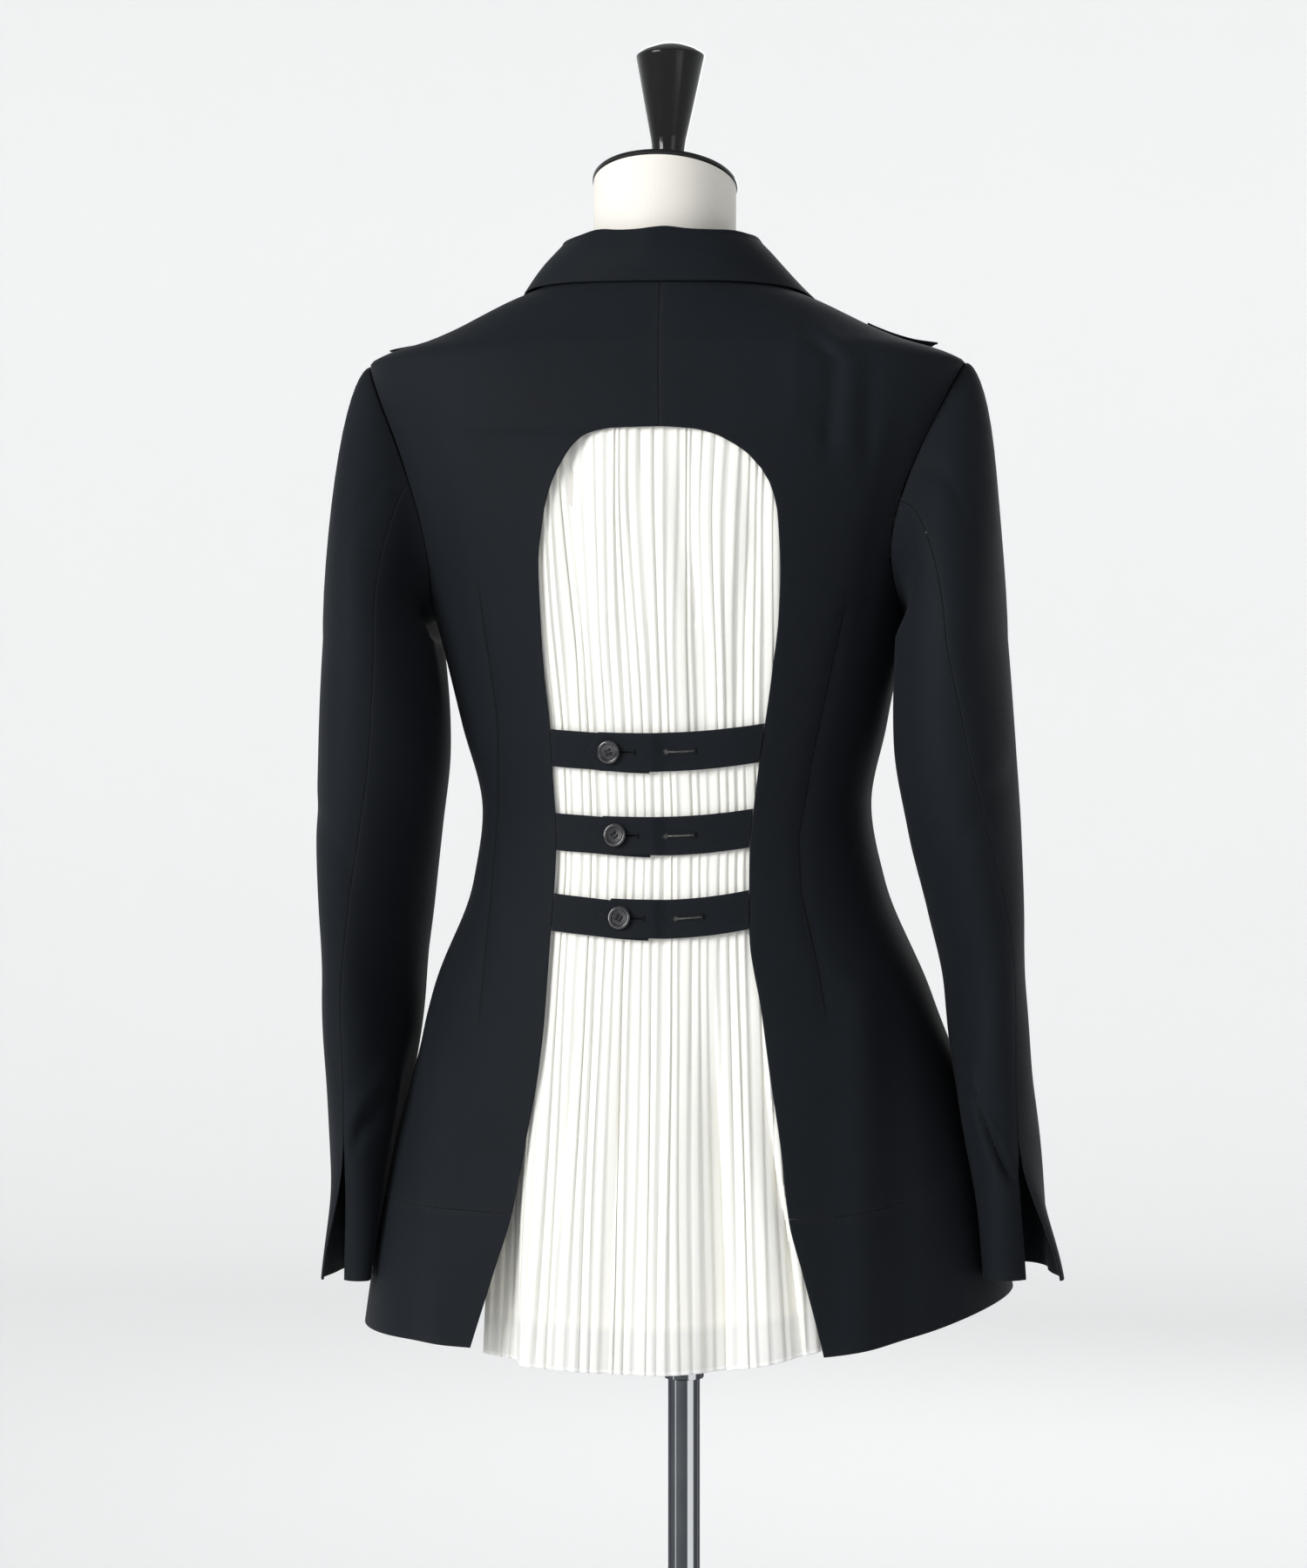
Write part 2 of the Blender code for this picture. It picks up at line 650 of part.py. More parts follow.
def collar_column(along, side):
    """From the neck seam up the stand, over the fold and down the leaf."""
    station = collar_at(along)
    if station.seam_z < NECK_Z - 1e-6:
        seam_turn = front_inner_turn(station.seam_z)
    else:
        seam_turn = station.seam_turn
    seam = skin(station.seam_z, side, seam_turn)
    edge = skin(station.leaf_z, side, station.leaf_turn, LAID_ON + LEAF_EASE * eased(0.5, 0.7, along))
    fold = Vector((side * station.fold_x, station.fold_y, station.fold_z))
    out = edge - seam
    out.z = 0
    out.normalize()
    seam += Vector((0, 0, SEAM_GAP)) - out * (WALL + SEAM_GAP * eased(0.45, 0.6, along))
    round_inner = fold - out * FOLD_RADIUS - Vector((0, 0, FOLD_RADIUS))
    round_outer = fold + out * FOLD_RADIUS - Vector((0, 0, FOLD_RADIUS))
    leaf = [round_outer.lerp(edge, t) + out * LEAF_BULGE * sin(pi * t) for t in (0.3, 0.65)]
    for point in (round_outer, *leaf):
        point.z = max(point.z, height_at(point.x, point.y) + 2 * (LAID_ON + LEAF_EASE))
    return [seam, seam.lerp(round_inner, 0.5), round_inner, fold, round_outer, *leaf, edge]


def collar(name):
    """Both halves in one piece, from the left gorge round the back to the right one."""
    steps = [k / COLLAR_COLUMNS for k in range(COLLAR_COLUMNS + 1)]
    columns = [collar_column(along, -1) for along in reversed(steps)]
    columns += [collar_column(along, 1) for along in steps[1:]]
    rows = [list(row) for row in zip(*columns)]
    return cloth(name, rows, flip=True)


def shoulder_flap(name, side):
    rows = []
    for row in range(5):
        down = row / 4
        points = []
        for column in range(5):
            x = mixed(*FLAP_X, column / 4) - FLAP_TAPER * down * column / 4
            y = NECK_Y + FLAP_START_Y + FLAP_DROP_Y * down
            z = height_at(x, y)
            corner = (column / 4) ** 2 * (1 - down) ** 2
            turn = turn_at_reach(z, y - body_at(z).middle, 1)
            points.append(skin(z, side, turn, FLAP_LIFT + FLAP_RISE * corner))
        rows.append(points)
    return cloth(name, rows, flip=side > 0)


def armhole_point(side, angle):
    """A point just inside the armhole's edge: 0 degrees is its top and 90 its back."""
    z = ARMHOLE_Z + (ARMHOLE_HALF_HEIGHT - SEAM_GAP) * cos(radians(angle))
    face = -1 if sin(radians(angle)) >= 0 else 1
    return skin(z, side, turn_at_reach(z, max(armhole_reach(z, face, SEAM_GAP), 0), face))


def sleeve_ring_point(side, z, angle, flare=0.0):
    ring = sleeve_at(z)
    turn, tilt = radians(angle), radians(ring.twist)
    short_axis = Vector((cos(tilt), sin(tilt), 0))
    long_axis = Vector((sin(tilt), -cos(tilt), 0))
    out = short_axis * cos(turn) / ring.half_short + long_axis * sin(turn) / ring.half_long
    point = Vector((ring.x, ring.y, z)) + out.normalized() * flare
    point += short_axis * ring.half_short * cos(turn) + long_axis * ring.half_long * sin(turn)
    toward_cuff = 1 - eased(CUFF_Z, 0.86, z)
    point.x += CUFF_SHIFT[side] * toward_cuff
    point.z += CUFF_RISE[side] * toward_cuff
    point.x = side * soft_max(point.x, width_at(point.y, z) + SLEEVE_CLEAR, SLEEVE_SOFT)
    return point


def cap_point(side, angle, t):
    """A point between the armhole and the first full ring of the sleeve."""
    start = armhole_point(side, angle)
    end = sleeve_ring_point(side, SLEEVE_TOP_Z, angle)
    turn = radians(angle)
    distance = (end - start).length
    lead = Vector((side, -CAP_SPREAD * sin(turn), CAP_SPRING * cos(turn))).normalized()
    leave = start + lead * min(CAP_LEAD, CAP_LEAD_SHARE * distance)
    arrive = end + Vector((0, 0, CAP_FALL * distance))
    rest = 1 - t
    point = start * rest**3 + leave * 3 * rest * rest * t + arrive * 3 * rest * t * t + end * t**3
    share = eased(0, 0.5, t)
    least = width_at(point.y, point.z) + SLEEVE_CLEAR * share
    if t:
        point.x = side * soft_max(side * point.x, least, SLEEVE_SOFT * share)
    return point


def back_seam_angle(z, side):
    row = back_seam_at(z)
    return row.left if side < 0 else row.right


def sleeve_rows(side, angles_at, flares=False):
    """Rows from the armhole to the cuff. angles_at gives a height's angles."""
    rows = []
    for t in CAP_STEPS:
        z = mixed(SHOULDER_TIP_Z, SLEEVE_TOP_Z, t)
        rows.append([cap_point(side, angle, t) for angle in angles_at(z)])
    for z in (*SLEEVE_ROWS, *VENT_ROWS):
        angles = angles_at(z)
        open_share = 1 - eased(CUFF_Z - 0.02, VENT_Z, z) if flares else 0
        points = []
        for angle in angles:
            near_edge = eased(angles[-1] - 60, angles[-1], angle) ** 1.5
            points.append(sleeve_ring_point(side, z, angle, VENT_FLARE[side] * open_share * near_edge))
        rows.append(points)
    return rows


def top_sleeve(name, side):
    columns = 12

    def angles_at(z):
        start, end = FRONT_SEAM - 360 + FRONT_SEAM_GAP, back_seam_angle(z, side) - BACK_SEAM_GAP
        return [mixed(start, end, k / columns) for k in range(columns + 1)]

    return cloth(name, sleeve_rows(side, angles_at, flares=True), flip=side < 0)


def under_sleeve(name, side):
    columns = 6

    def angles_at(z):
        spread = VENT_SPREAD * (1 - eased(CUFF_Z, VENT_Z, z))
        start, end = back_seam_angle(z, side) + BACK_SEAM_GAP + spread, FRONT_SEAM - FRONT_SEAM_GAP
        return [mixed(start, end, k / columns) for k in range(columns + 1)]

    return cloth(name, sleeve_rows(side, angles_at), flip=side < 0)


# What shows through the opening


def back_at_x(z, x, lift):
    side = 1 if x >= 0 else -1
    return skin(z, side, turn_at_x(z, abs(x), -1), lift)


def wave_depth(x, z):
    strength = max((WAVES_FROM_Z - z) / (WAVES_FROM_Z - PLEAT_HEM_Z), 0)
    xs, depths = zip(*WAVES)
    return strength * float(np.interp(x, xs, depths))


def pleat_hem_rise(x):
    """The panel's hem curves up a little to the left and more to the right."""
    return PLEAT_HEM_RISES[1 if x > 0 else -1] * x**2


def pleated_panel(name):
    """Knife pleats: a long face and a short one, so each crest leans to the right."""
    crest_depth = WALL + 0.0008
    heights, widths = zip(*PANEL_WIDTH)
    rows = []
    for z in PLEAT_ROWS:
        half = float(np.interp(z, heights, widths)) / 2
        row = []
        for k in range(2 * PLEATS + 1):
            place = (k // 2 + (PLEAT_CREST if k % 2 else 0)) / PLEATS
            x = mixed(-half, half, place)
            depth = crest_depth + (0 if k % 2 else PLEAT_DEPTH) + wave_depth(x, z)
            point = back_at_x(z, x, -depth)
            point.z += pleat_hem_rise(x) * (1 - eased(PLEAT_HEM_Z, PLEAT_HEM_FADE_Z, z))
            row.append(point)
        rows.append(row)
    return cloth(name, rows, material="pleated_cloth", wall=PLEAT_WALL)


def underlay(name):
    rows = []
    for z in UNDERLAY_ROWS:
        row = underlay_at(z)
        spread = [mixed(-1, 1, k / UNDERLAY_COLUMNS) * row.half_width for k in range(UNDERLAY_COLUMNS + 1)]
        rows.append([back_at_x(z, x, -row.depth) for x in spread])
    return cloth(name, rows, material="underlay_cloth", wall=PLEAT_WALL)


def strap_middle(strap, x):
    """The height of a strap's middle line, which sags a little between its ends."""
    side = -1 if x < 0 else 1
    end_z = strap.left_z if x < 0 else strap.right_z
    return mixed(strap.middle_z, end_z, (x / opening_edge(strap.middle_z, side)) ** 2)


def strap_sheet(name, places, lift_at, drop_at):
    """A strip through places, each (x, half of its width there)."""
    strap_rows = []
    for share in (-1, 0, 1):
        row = []
        for x, half, z in places:
            height = z + share * half - drop_at(x)
            left, right = opening_edge(height, -1), opening_edge(height, 1)
            reach = min(max(x, SEAM_GAP - left), right - SEAM_GAP)
            row.append(back_at_x(height, reach, STRAP_STAND + lift_at(x)))
        strap_rows.append(row)
    return cloth(name, strap_rows)


def under_strap(name, strap):
    """From the opening's left edge, its end cut square."""
    start = -opening_edge(strap.left_z + STRAP_HALF, -1)
    xs = [mixed(start, UNDER_STRAP_END_X, k / 7) for k in range(8)]
    places = [(x, STRAP_HALF - 0.0004, strap_middle(strap, x)) for x in xs]
    return strap_sheet(name, places, lambda x: 0.0, lambda x: UNDER_STRAP_DROP * eased(-0.05, 0, x))


def over_strap(name, strap):
    """From the opening's right edge to an arrow end that lies on the under strap."""
    end = opening_edge(strap.right_z + STRAP_HALF, 1)
    shoulder = strap.tip_x + STRAP_POINT
    xs = [strap.tip_x + 0.0004, mixed(strap.tip_x, shoulder, 0.5)]
    xs += [mixed(shoulder, end, k / 10) for k in range(11)]
    places = []
    for x in xs:
        half = STRAP_HALF * min((x - strap.tip_x) / STRAP_POINT, 1)
        places.append((x, half, strap_middle(strap, x)))
    return strap_sheet(name, places, over_strap_lift, lambda x: 0.0)


def over_strap_lift(x):
    return STRAP_LIFT * (1 - eased(UNDER_STRAP_END_X + 0.001, UNDER_STRAP_END_X + 0.012, x))


def button(name, radius, place, outward):
    """A rimmed, dished disc whose foot is at its place."""
    rim = 0.0009
    profile = (
        TurnedRow(0, BUTTON_HEIGHT - rim),
        TurnedRow(radius * 0.66, BUTTON_HEIGHT - rim),
        TurnedRow(radius * 0.78, BUTTON_HEIGHT),
        TurnedRow(radius * 0.93, BUTTON_HEIGHT),
        TurnedRow(radius, BUTTON_HEIGHT - rim),
        TurnedRow(radius * 0.72, 0),
        TurnedRow(0, 0),
    )
    thing = turned(name, profile, "horn", steps=16)
    turned_out = outward.to_track_quat("Z", "Y").to_matrix().to_4x4()
    thing.matrix_world = Matrix.Translation(worn(place)) @ turned_out
    return thing


def strap_button(name, strap):
    z = strap_middle(strap, strap.button_x)
    lift = STRAP_STAND + over_strap_lift(strap.button_x) + BUTTON_GAP
    foot = back_at_x(z, strap.button_x, lift)
    outward = (back_at_x(z, strap.button_x, 0.01) - back_at_x(z, strap.button_x, 0)).normalized()
    return button(name, BUTTON_RADIUS, foot, outward)


def front_button(name):
    turn = turn_at_x(FRONT_BUTTON_Z, 0.0004, 1)
    lift = front_lap(FRONT_BUTTON_Z, 1, turn)
    foot = skin(FRONT_BUTTON_Z, 1, turn, lift + BUTTON_GAP)
    outward = (skin(FRONT_BUTTON_Z, 1, turn, 0.01) - skin(FRONT_BUTTON_Z, 1, turn)).normalized()
    return button(name, FRONT_BUTTON_RADIUS, foot, outward)


# The dress form


def form_ring(row):
    ring = Ring(row.z, row.half_width, 0, 0, body_at(row.z).middle)
    ring = ring._replace(back=ring.middle - row.back_y, front=row.front_y - ring.middle)
    points = []
    for k in range(FORM_COLUMNS):
        turn = mixed(-1, 3, k / FORM_COLUMNS)
        if turn <= 1:
            points.append(on_ring(ring, 1, turn))
        else:
            points.append(on_ring(ring, -1, 2 - turn))
    return points


def neck_ring(z, slope):
    points = []
    for k in range(FORM_COLUMNS):
        angle = 2 * pi * k / FORM_COLUMNS - pi / 2
        y = NECK_HALF_DEPTH * sin(angle)
        points.append(Vector((NECK_HALF_WIDTH * cos(angle), NECK_Y + y, z - y * tan(slope))))
    return points


def torso(name):
    rings = [form_ring(row) for row in TORSO]
    rings += [neck_ring(z, NECK_SLOPE * k / 3) for k, z in enumerate(NECK_RINGS, 1)]
    rings.append(neck_ring(NECK_TOP_Z, NECK_SLOPE))
    return lofted(name, rings, "form_cloth")


def neck_cap(name):
    """A thin lid, square to the slanted top of the neck."""
    mesh = bpy.data.meshes.new(name)
    shape = bmesh.new()
    bmesh.ops.create_cone(shape, cap_ends=True, segments=FORM_COLUMNS, radius1=1, radius2=1, depth=CAP_HEIGHT)
    over = Vector((NECK_HALF_WIDTH + CAP_OVER, NECK_HALF_DEPTH / cos(NECK_SLOPE) + CAP_OVER, 1))
    bmesh.ops.scale(shape, vec=over, verts=shape.verts)
    shape.to_mesh(mesh)
    shape.free()
    mesh.shade_smooth()
    mesh.set_sharp_from_angle(angle=radians(40))
    mesh.materials.append(materials["black_lacquer"])
    thing = bpy.data.objects.new(name, mesh)
    parts.objects.link(thing)
    lift = SEAM_GAP + CAP_HEIGHT / 2
    thing.location = (-LEAN, NECK_Y + lift * sin(NECK_SLOPE), NECK_TOP_Z + lift * cos(NECK_SLOPE))
    thing.rotation_euler = (-NECK_SLOPE, 0, 0)
    return thing


def knob(name):
    """An upright knob whose foot is cut to the slant of the lid."""
    count = 18
    foot_z = NECK_TOP_Z + (CAP_HEIGHT + 2 * SEAM_GAP) / cos(NECK_SLOPE)
    rings = []
    for row in KNOB:
        slant = tan(NECK_SLOPE) * (1 - eased(KNOB[0].z, KNOB[3].z, row.z))
        z = foot_z if row is KNOB[0] else row.z
        aside = mixed(*KNOB_ASIDE, (row.z - KNOB[0].z) / (KNOB_TOP_Z - KNOB[0].z))
        ring = []
        for k in range(count):
            angle = 2 * pi * k / count
            y = row.radius * sin(angle)
            ring.append(Vector((aside + row.radius * cos(angle), NECK_Y + y, z - y * slant)))
        rings.append(ring)
    return lofted(name, rings, "black_lacquer")


def pole(name):
    top = TORSO[0].z - SEAM_GAP
    profile = (
        TurnedRow(0, top),
        TurnedRow(POLE_COLLAR_RADIUS, top),
        TurnedRow(POLE_COLLAR_RADIUS, POLE_COLLAR_Z),
        TurnedRow(POLE_RADIUS, POLE_COLLAR_Z - 0.0015),
        TurnedRow(POLE_RADIUS, BASE_TOP_Z + SEAM_GAP),
        TurnedRow(0, BASE_TOP_Z + SEAM_GAP),
    )
    return turned(name, profile, "chrome", steps=24)


def build():
    for hand, side in SIDES.items():
        back_panel(f"back_{hand}", side)
        front_panel(f"front_{hand}", side)
        hem_band(f"hem_band_{hand}", side)
        lapel(f"lapel_{hand}", side)
        shoulder_flap(f"shoulder_flap_{hand}", side)
        top_sleeve(f"top_sleeve_{hand}", side)
        under_sleeve(f"under_sleeve_{hand}", side)
    collar("collar")
    pleated_panel("pleated_panel")
    underlay("underlay")
    for number, strap in enumerate(STRAPS, 1):
        under_strap(f"strap_under_{number}", strap)
        over_strap(f"strap_over_{number}", strap)
        strap_button(f"button_{number}", strap)
    front_button("front_button")
    torso("torso")
    neck_cap("neck_cap")
    knob("knob")
    pole("pole")
    turned("base", BASE, "chrome", steps=32)


clear_scene()
parts = new_collection("pleated_jacket_on_dress_form")
materials = {name: new_material(name, finish) for name, finish in FINISHES.items()}
build()
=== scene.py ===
"""A pleated jacket on a dress form: its cloth, seams, buttons and finishes, on a pale floor in soft light.

Metres, +Z up. +Y is the garment's front and +X its wearer's right, so the back faces -Y. Side is +1 for
the wearer's right and -1 for the wearer's left.

The cloth follows one skin, a stack of rounded rings. A place on it is a height and a turn: -1 at the
centre back, 0 at the side seam and +1 at the centre front, past which it carries on round.
"""

from bisect import bisect
from collections import namedtuple
from functools import cache
from math import acos, asin, cos, pi, radians, sin, sqrt, tan

import bmesh
import bpy
import numpy as np
from mathutils import Matrix, Vector


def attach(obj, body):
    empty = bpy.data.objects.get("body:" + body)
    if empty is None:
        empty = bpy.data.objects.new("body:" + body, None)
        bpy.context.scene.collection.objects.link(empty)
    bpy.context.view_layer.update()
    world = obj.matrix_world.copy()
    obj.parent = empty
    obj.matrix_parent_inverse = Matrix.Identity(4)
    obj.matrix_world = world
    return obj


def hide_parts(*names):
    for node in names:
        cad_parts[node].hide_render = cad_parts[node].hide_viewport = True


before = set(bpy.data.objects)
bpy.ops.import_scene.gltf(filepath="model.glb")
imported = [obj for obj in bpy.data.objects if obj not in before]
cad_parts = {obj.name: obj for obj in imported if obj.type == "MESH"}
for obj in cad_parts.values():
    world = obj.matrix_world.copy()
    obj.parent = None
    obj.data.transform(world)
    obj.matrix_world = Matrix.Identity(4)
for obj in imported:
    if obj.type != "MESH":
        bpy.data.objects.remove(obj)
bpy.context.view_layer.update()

# Fineness
SEAM_GAP = 0.00005
FRONT_SEAM_GAP = 0.05  # degrees from each sleeve piece to the seam between them
BACK_SEAM_GAP = 0.05
ROW_STEP = 0.0042
BACK_COLUMNS = 56
FRONT_COLUMNS = 48
BAND_COLUMNS = 150
TOP_SLEEVE_COLUMNS = 76
UNDER_SLEEVE_COLUMNS = 44
COLLAR_COLUMNS = 56
UNDERLAY_COLUMNS = 40
UNDERLAY_ROW_STEP = 0.012
UNDERLAY_WAVE = 0.4  # how much of the pleated panel's waves it follows
FORM_COLUMNS = 96
PLEAT_STEPS = 10  # columns in each pleat
EDGE_LINES = (0.0003, 0.0008, 0.0016)
EDGE_ROUND = 0.0011
EDGE_DROP = 0.34  # of the wall
EDGE_WEAR = 0.0025  # reach of the paler cloth along an edge
SLEEVE_ROW_STEP = 0.0045
LAPEL_ROW_STEP = 0.003
LAPEL_COLUMNS = 22
FLAP_STEPS = 24
ARMHOLE_STEPS = 30
ARCH_STEPS = 12
ARCH_DEPTH = 0.016  # how far below the arch's top its rows stand close
LEAST_STEP = 0.00025  # rows closer than this are one

SIDES = {"left": -1, "right": 1}

# Cloth
WALL = 0.0015
LAID_ON = 0.0022  # outer face of a piece above the outer face that it lies on
ROUND = 2.3  # power of the rings' rounded outline, 2 for an ellipse

# Heights
PLEAT_HEM_Z = 0.6125
HEM_Z = 0.625
BAND_Z = 0.7125
NECK_Z = 1.3267
SHOULDER_TIP_Z = 1.268

Ring = namedtuple("Ring", "z half_width back front middle")
BODY = (
    Ring(0.600, 0.2240, 0.173, 0.150, 0.0200),
    Ring(0.625, 0.2204, 0.170, 0.148, 0.0180),
    Ring(0.655, 0.2155, 0.165, 0.145, 0.0155),
    Ring(0.700, 0.2070, 0.158, 0.140, 0.0120),
    Ring(0.780, 0.1890, 0.142, 0.128, 0.0040),
    Ring(0.838, 0.1717, 0.127, 0.122, -0.0045),
    Ring(0.856, 0.1660, 0.122, 0.120, -0.0080),
    Ring(0.926, 0.1380, 0.101, 0.108, -0.0200),
    Ring(0.975, 0.1300, 0.090, 0.104, -0.0280),
    Ring(1.030, 0.1420, 0.090, 0.120, -0.0340),
    Ring(1.100, 0.1580, 0.094, 0.150, -0.0400),
    Ring(1.160, 0.1740, 0.095, 0.150, -0.0440),
    Ring(1.190, 0.1830, 0.092, 0.140, -0.0460),
    Ring(1.220, 0.1900, 0.088, 0.128, -0.0480),
    Ring(1.250, 0.1965, 0.082, 0.112, -0.0510),
    Ring(1.268, 0.1995, 0.077, 0.102, -0.0520),
    Ring(1.275, 0.1870, 0.0755, 0.098, -0.0520),
    Ring(1.282, 0.1625, 0.073, 0.091, -0.0520),
    Ring(1.2905, 0.1410, 0.070, 0.082, -0.0520),
    Ring(1.299, 0.1235, 0.067, 0.070, -0.0520),
    Ring(1.3075, 0.1060, 0.064, 0.062, -0.0520),
    Ring(1.317, 0.0835, 0.060, 0.054, -0.0520),
    Ring(1.3267, 0.0660, 0.054, 0.046, -0.0520),
)

# How the form and the jacket stand: the shoulders lean to the left and rise on that side, and the skirt
# kicks up over the right hip.
LEAN = 0.004
LEAN_Z = (0.95, 1.20)  # between these heights the lean sets in
TILT = 0.0128
TILT_Z = (1.05, 1.20)
TILT_END_Z = 1.345
KICK = 0.022
KICK_X = (0.110, 0.210)
KICK_POWER = 1.5
KICK_Z = (0.72, 0.88)  # between these heights the kick dies away

# The arched opening in the back, which flares into a split: the distance of each edge from the centre.
OpeningRow = namedtuple("OpeningRow", "z left right")
OPENING_TOP_Z = 1.2195
OPENING = (
    OpeningRow(0.600, 0.1245, 0.1180),
    OpeningRow(0.625, 0.1179, 0.1129),
    OpeningRow(0.677, 0.1013, 0.0995),
    OpeningRow(0.711, 0.0905, 0.0903),
    OpeningRow(0.757, 0.0820, 0.0845),
    OpeningRow(0.811, 0.0733, 0.0759),
    OpeningRow(0.845, 0.0702, 0.0709),
    OpeningRow(0.894, 0.0680, 0.0625),
    OpeningRow(0.945, 0.0660, 0.0616),
    OpeningRow(0.996, 0.0680, 0.0670),
    OpeningRow(1.029, 0.0689, 0.0722),
    OpeningRow(1.063, 0.0717, 0.0775),
    OpeningRow(1.096, 0.0728, 0.0820),
    OpeningRow(1.130, 0.0734, 0.0837),
    OpeningRow(1.163, 0.0694, 0.0826),
    OpeningRow(1.180, 0.0651, 0.0790),
    OpeningRow(1.197, 0.0571, 0.0688),
    OpeningRow(1.2133, 0.0435, 0.0456),
    OpeningRow(1.2185, 0.0250, 0.0260),
    OpeningRow(1.2195, -0.0070, 0.0070),
)
CENTRE_SEAM_X = ((OPENING_TOP_Z, 0.0108), (NECK_Z, 0.0067))  # the centre back seam, right of the centre

# The front edge, or roll line above the button: its distance from the centre, past it where negative.
EdgeRow = namedtuple("EdgeRow", "z x")
LAP = 0.018
LAP_LIFT = 0.0028
LAP_KNEE = 0.042  # width of the flat strip along each front edge
LAP_END_Z = (1.055, 1.110)  # between these heights the fronts stop lapping
FRONT_EDGE = (
    EdgeRow(0.600, -LAP),
    EdgeRow(1.020, -LAP),
    EdgeRow(1.050, 0.000),
    EdgeRow(1.100, 0.016),
    EdgeRow(1.160, 0.030),
    EdgeRow(1.220, 0.045),
    EdgeRow(1.280, 0.058),
    EdgeRow(1.3075, 0.062),
    EdgeRow(1.3267, 0.066),
)
LAPEL_EDGE = (
    EdgeRow(1.058, 0.014),
    EdgeRow(1.075, 0.032),
    EdgeRow(1.100, 0.055),
    EdgeRow(1.150, 0.083),
    EdgeRow(1.190, 0.100),
    EdgeRow(1.212, 0.104),
    EdgeRow(1.222, 0.088),
    EdgeRow(1.232, 0.071),
    EdgeRow(1.240, 0.057),
)

# Armhole
ARMHOLE_Z = 1.184
ARMHOLE_HALF_HEIGHT = 0.084
ARMHOLE_REACH = {-1: 0.047, 1: 0.050}  # to the back and to the front
ARMHOLE_TAPER = 0.28

# Heights that the rows of the body panels keep
SKIRT_ROWS = (0.740, 0.780, 0.820, 0.860, 0.900, 0.938, 0.975, 1.010, 1.040, 1.070, 1.0996)
SHOULDER_ROWS = (1.275, 1.282, 1.2905, 1.299, 1.3075, 1.317)
FRONT_TOP_Z = 1.3225  # above this the front has no rows
LAPEL_ROWS = (1.058, 1.070, 1.100, 1.115, 1.135, 1.160, 1.180, 1.197, 1.212, 1.222, 1.232, 1.240)

# Sleeve
SleeveRing = namedtuple("SleeveRing", "z x y half_long half_short twist")
SLEEVE = (
    SleeveRing(0.6575, 0.2150, -0.018, 0.0520, 0.0235, -4),
    SleeveRing(0.7130, 0.2130, -0.021, 0.0535, 0.0245, 0),
    SleeveRing(0.7840, 0.2090, -0.028, 0.0570, 0.0270, 6),
    SleeveRing(0.8545, 0.2060, -0.034, 0.0600, 0.0265, 12),
    SleeveRing(0.9070, 0.2017, -0.046, 0.0630, 0.0312, 11),
    SleeveRing(0.9600, 0.1955, -0.061, 0.0665, 0.0367, 8),
    SleeveRing(1.0135, 0.1905, -0.066, 0.0700, 0.0400, 6),
    SleeveRing(1.0850, 0.1890, -0.062, 0.0740, 0.0370, 4),
)
CUFF_Z = SLEEVE[0].z
SLEEVE_TOP_Z = SLEEVE[-1].z
CAP_STEPS = (
    0, 0.015, 0.04, 0.07, 0.11, 0.16, 0.21, 0.27, 0.33,
    0.40, 0.47, 0.54, 0.62, 0.70, 0.78, 0.86, 0.94,
)  # how far down its head each row of the sleeve lies
CAP_LEAD = 0.017  # how squarely the sleeve's head stands out from the armhole
CAP_LEAD_SHARE = 0.35  # at most this share of the way down the head
CAP_SPREAD = 0.6  # how much the head spreads to its back and front
CAP_SPRING = 0.15  # how much it springs up
CAP_FALL = 0.4  # how straight it falls into the sleeve
VENT_Z = 0.762
VENT_FLARE = {-1: 0.014, 1: 0.023}
FLARE_DROP = 0.02  # how far below the cuff the flare would be full
FLARE_REACH = 60  # degrees of the sleeve, up to its back seam, that flare
FLARE_POWER = 1.5
VENT_SPREAD = 10  # degrees that the under sleeve's edge draws back at the cuff
CUFF_SHIFT = {-1: -0.003, 1: 0.008}  # how far the cuff swings out from the body
CUFF_RISE = {-1: 0.0, 1: 0.010}
CUFF_SHIFT_TOP_Z = 0.86  # above this the sleeve doesn't swing out
BackSeam = namedtuple("BackSeam", "z left right")
BACK_SEAM = (
    BackSeam(0.6575, 52, 40),
    BackSeam(0.765, 84, 60),
    BackSeam(0.870, 100, 58),
    BackSeam(0.935, 106, 68),
    BackSeam(1.030, 110, 82),
    BackSeam(1.085, 112, 92),
    BackSeam(1.268, 88, 97),
)
FRONT_SEAM = 225  # degrees round the sleeve, where 0 is its outer side and 90 its back
SLEEVE_CLEAR = 0.0030
SLEEVE_SOFT = 0.006  # how roundly a sleeve gives way to the body

# Collar, from the centre back to the gorge
Station = namedtuple("Station", "along fold_x fold_y fold_z leaf_turn leaf_z seam_turn seam_z")
COLLAR = (
    Station(0.00, 0.0000, -0.1130, 1.3500, -1.000, 1.3146, -1.00, NECK_Z),
    Station(0.18, 0.0360, -0.1045, 1.3495, -0.660, 1.3146, -0.62, NECK_Z),
    Station(0.33, 0.0612, -0.0780, 1.3475, -0.330, 1.3140, -0.27, NECK_Z),
    Station(0.45, 0.0690, -0.0520, 1.3430, 0.000, 1.3121, 0.00, NECK_Z),
    Station(0.60, 0.0690, -0.0040, 1.3268, 0.312, 1.3040, 0.00, 1.3147),
    Station(0.80, 0.0615, 0.0335, 1.2962, 0.686, 1.2760, 0.00, 1.2870),
    Station(1.00, 0.0530, 0.0610, 1.2565, 0.750, 1.2480, 0.00, 1.2520),
)
FOLD_RADIUS = 0.0022
LEAF_BULGE = 0.003
LEAF_EASE = 0.0012  # how much more the leaf stands off the fronts than off the back

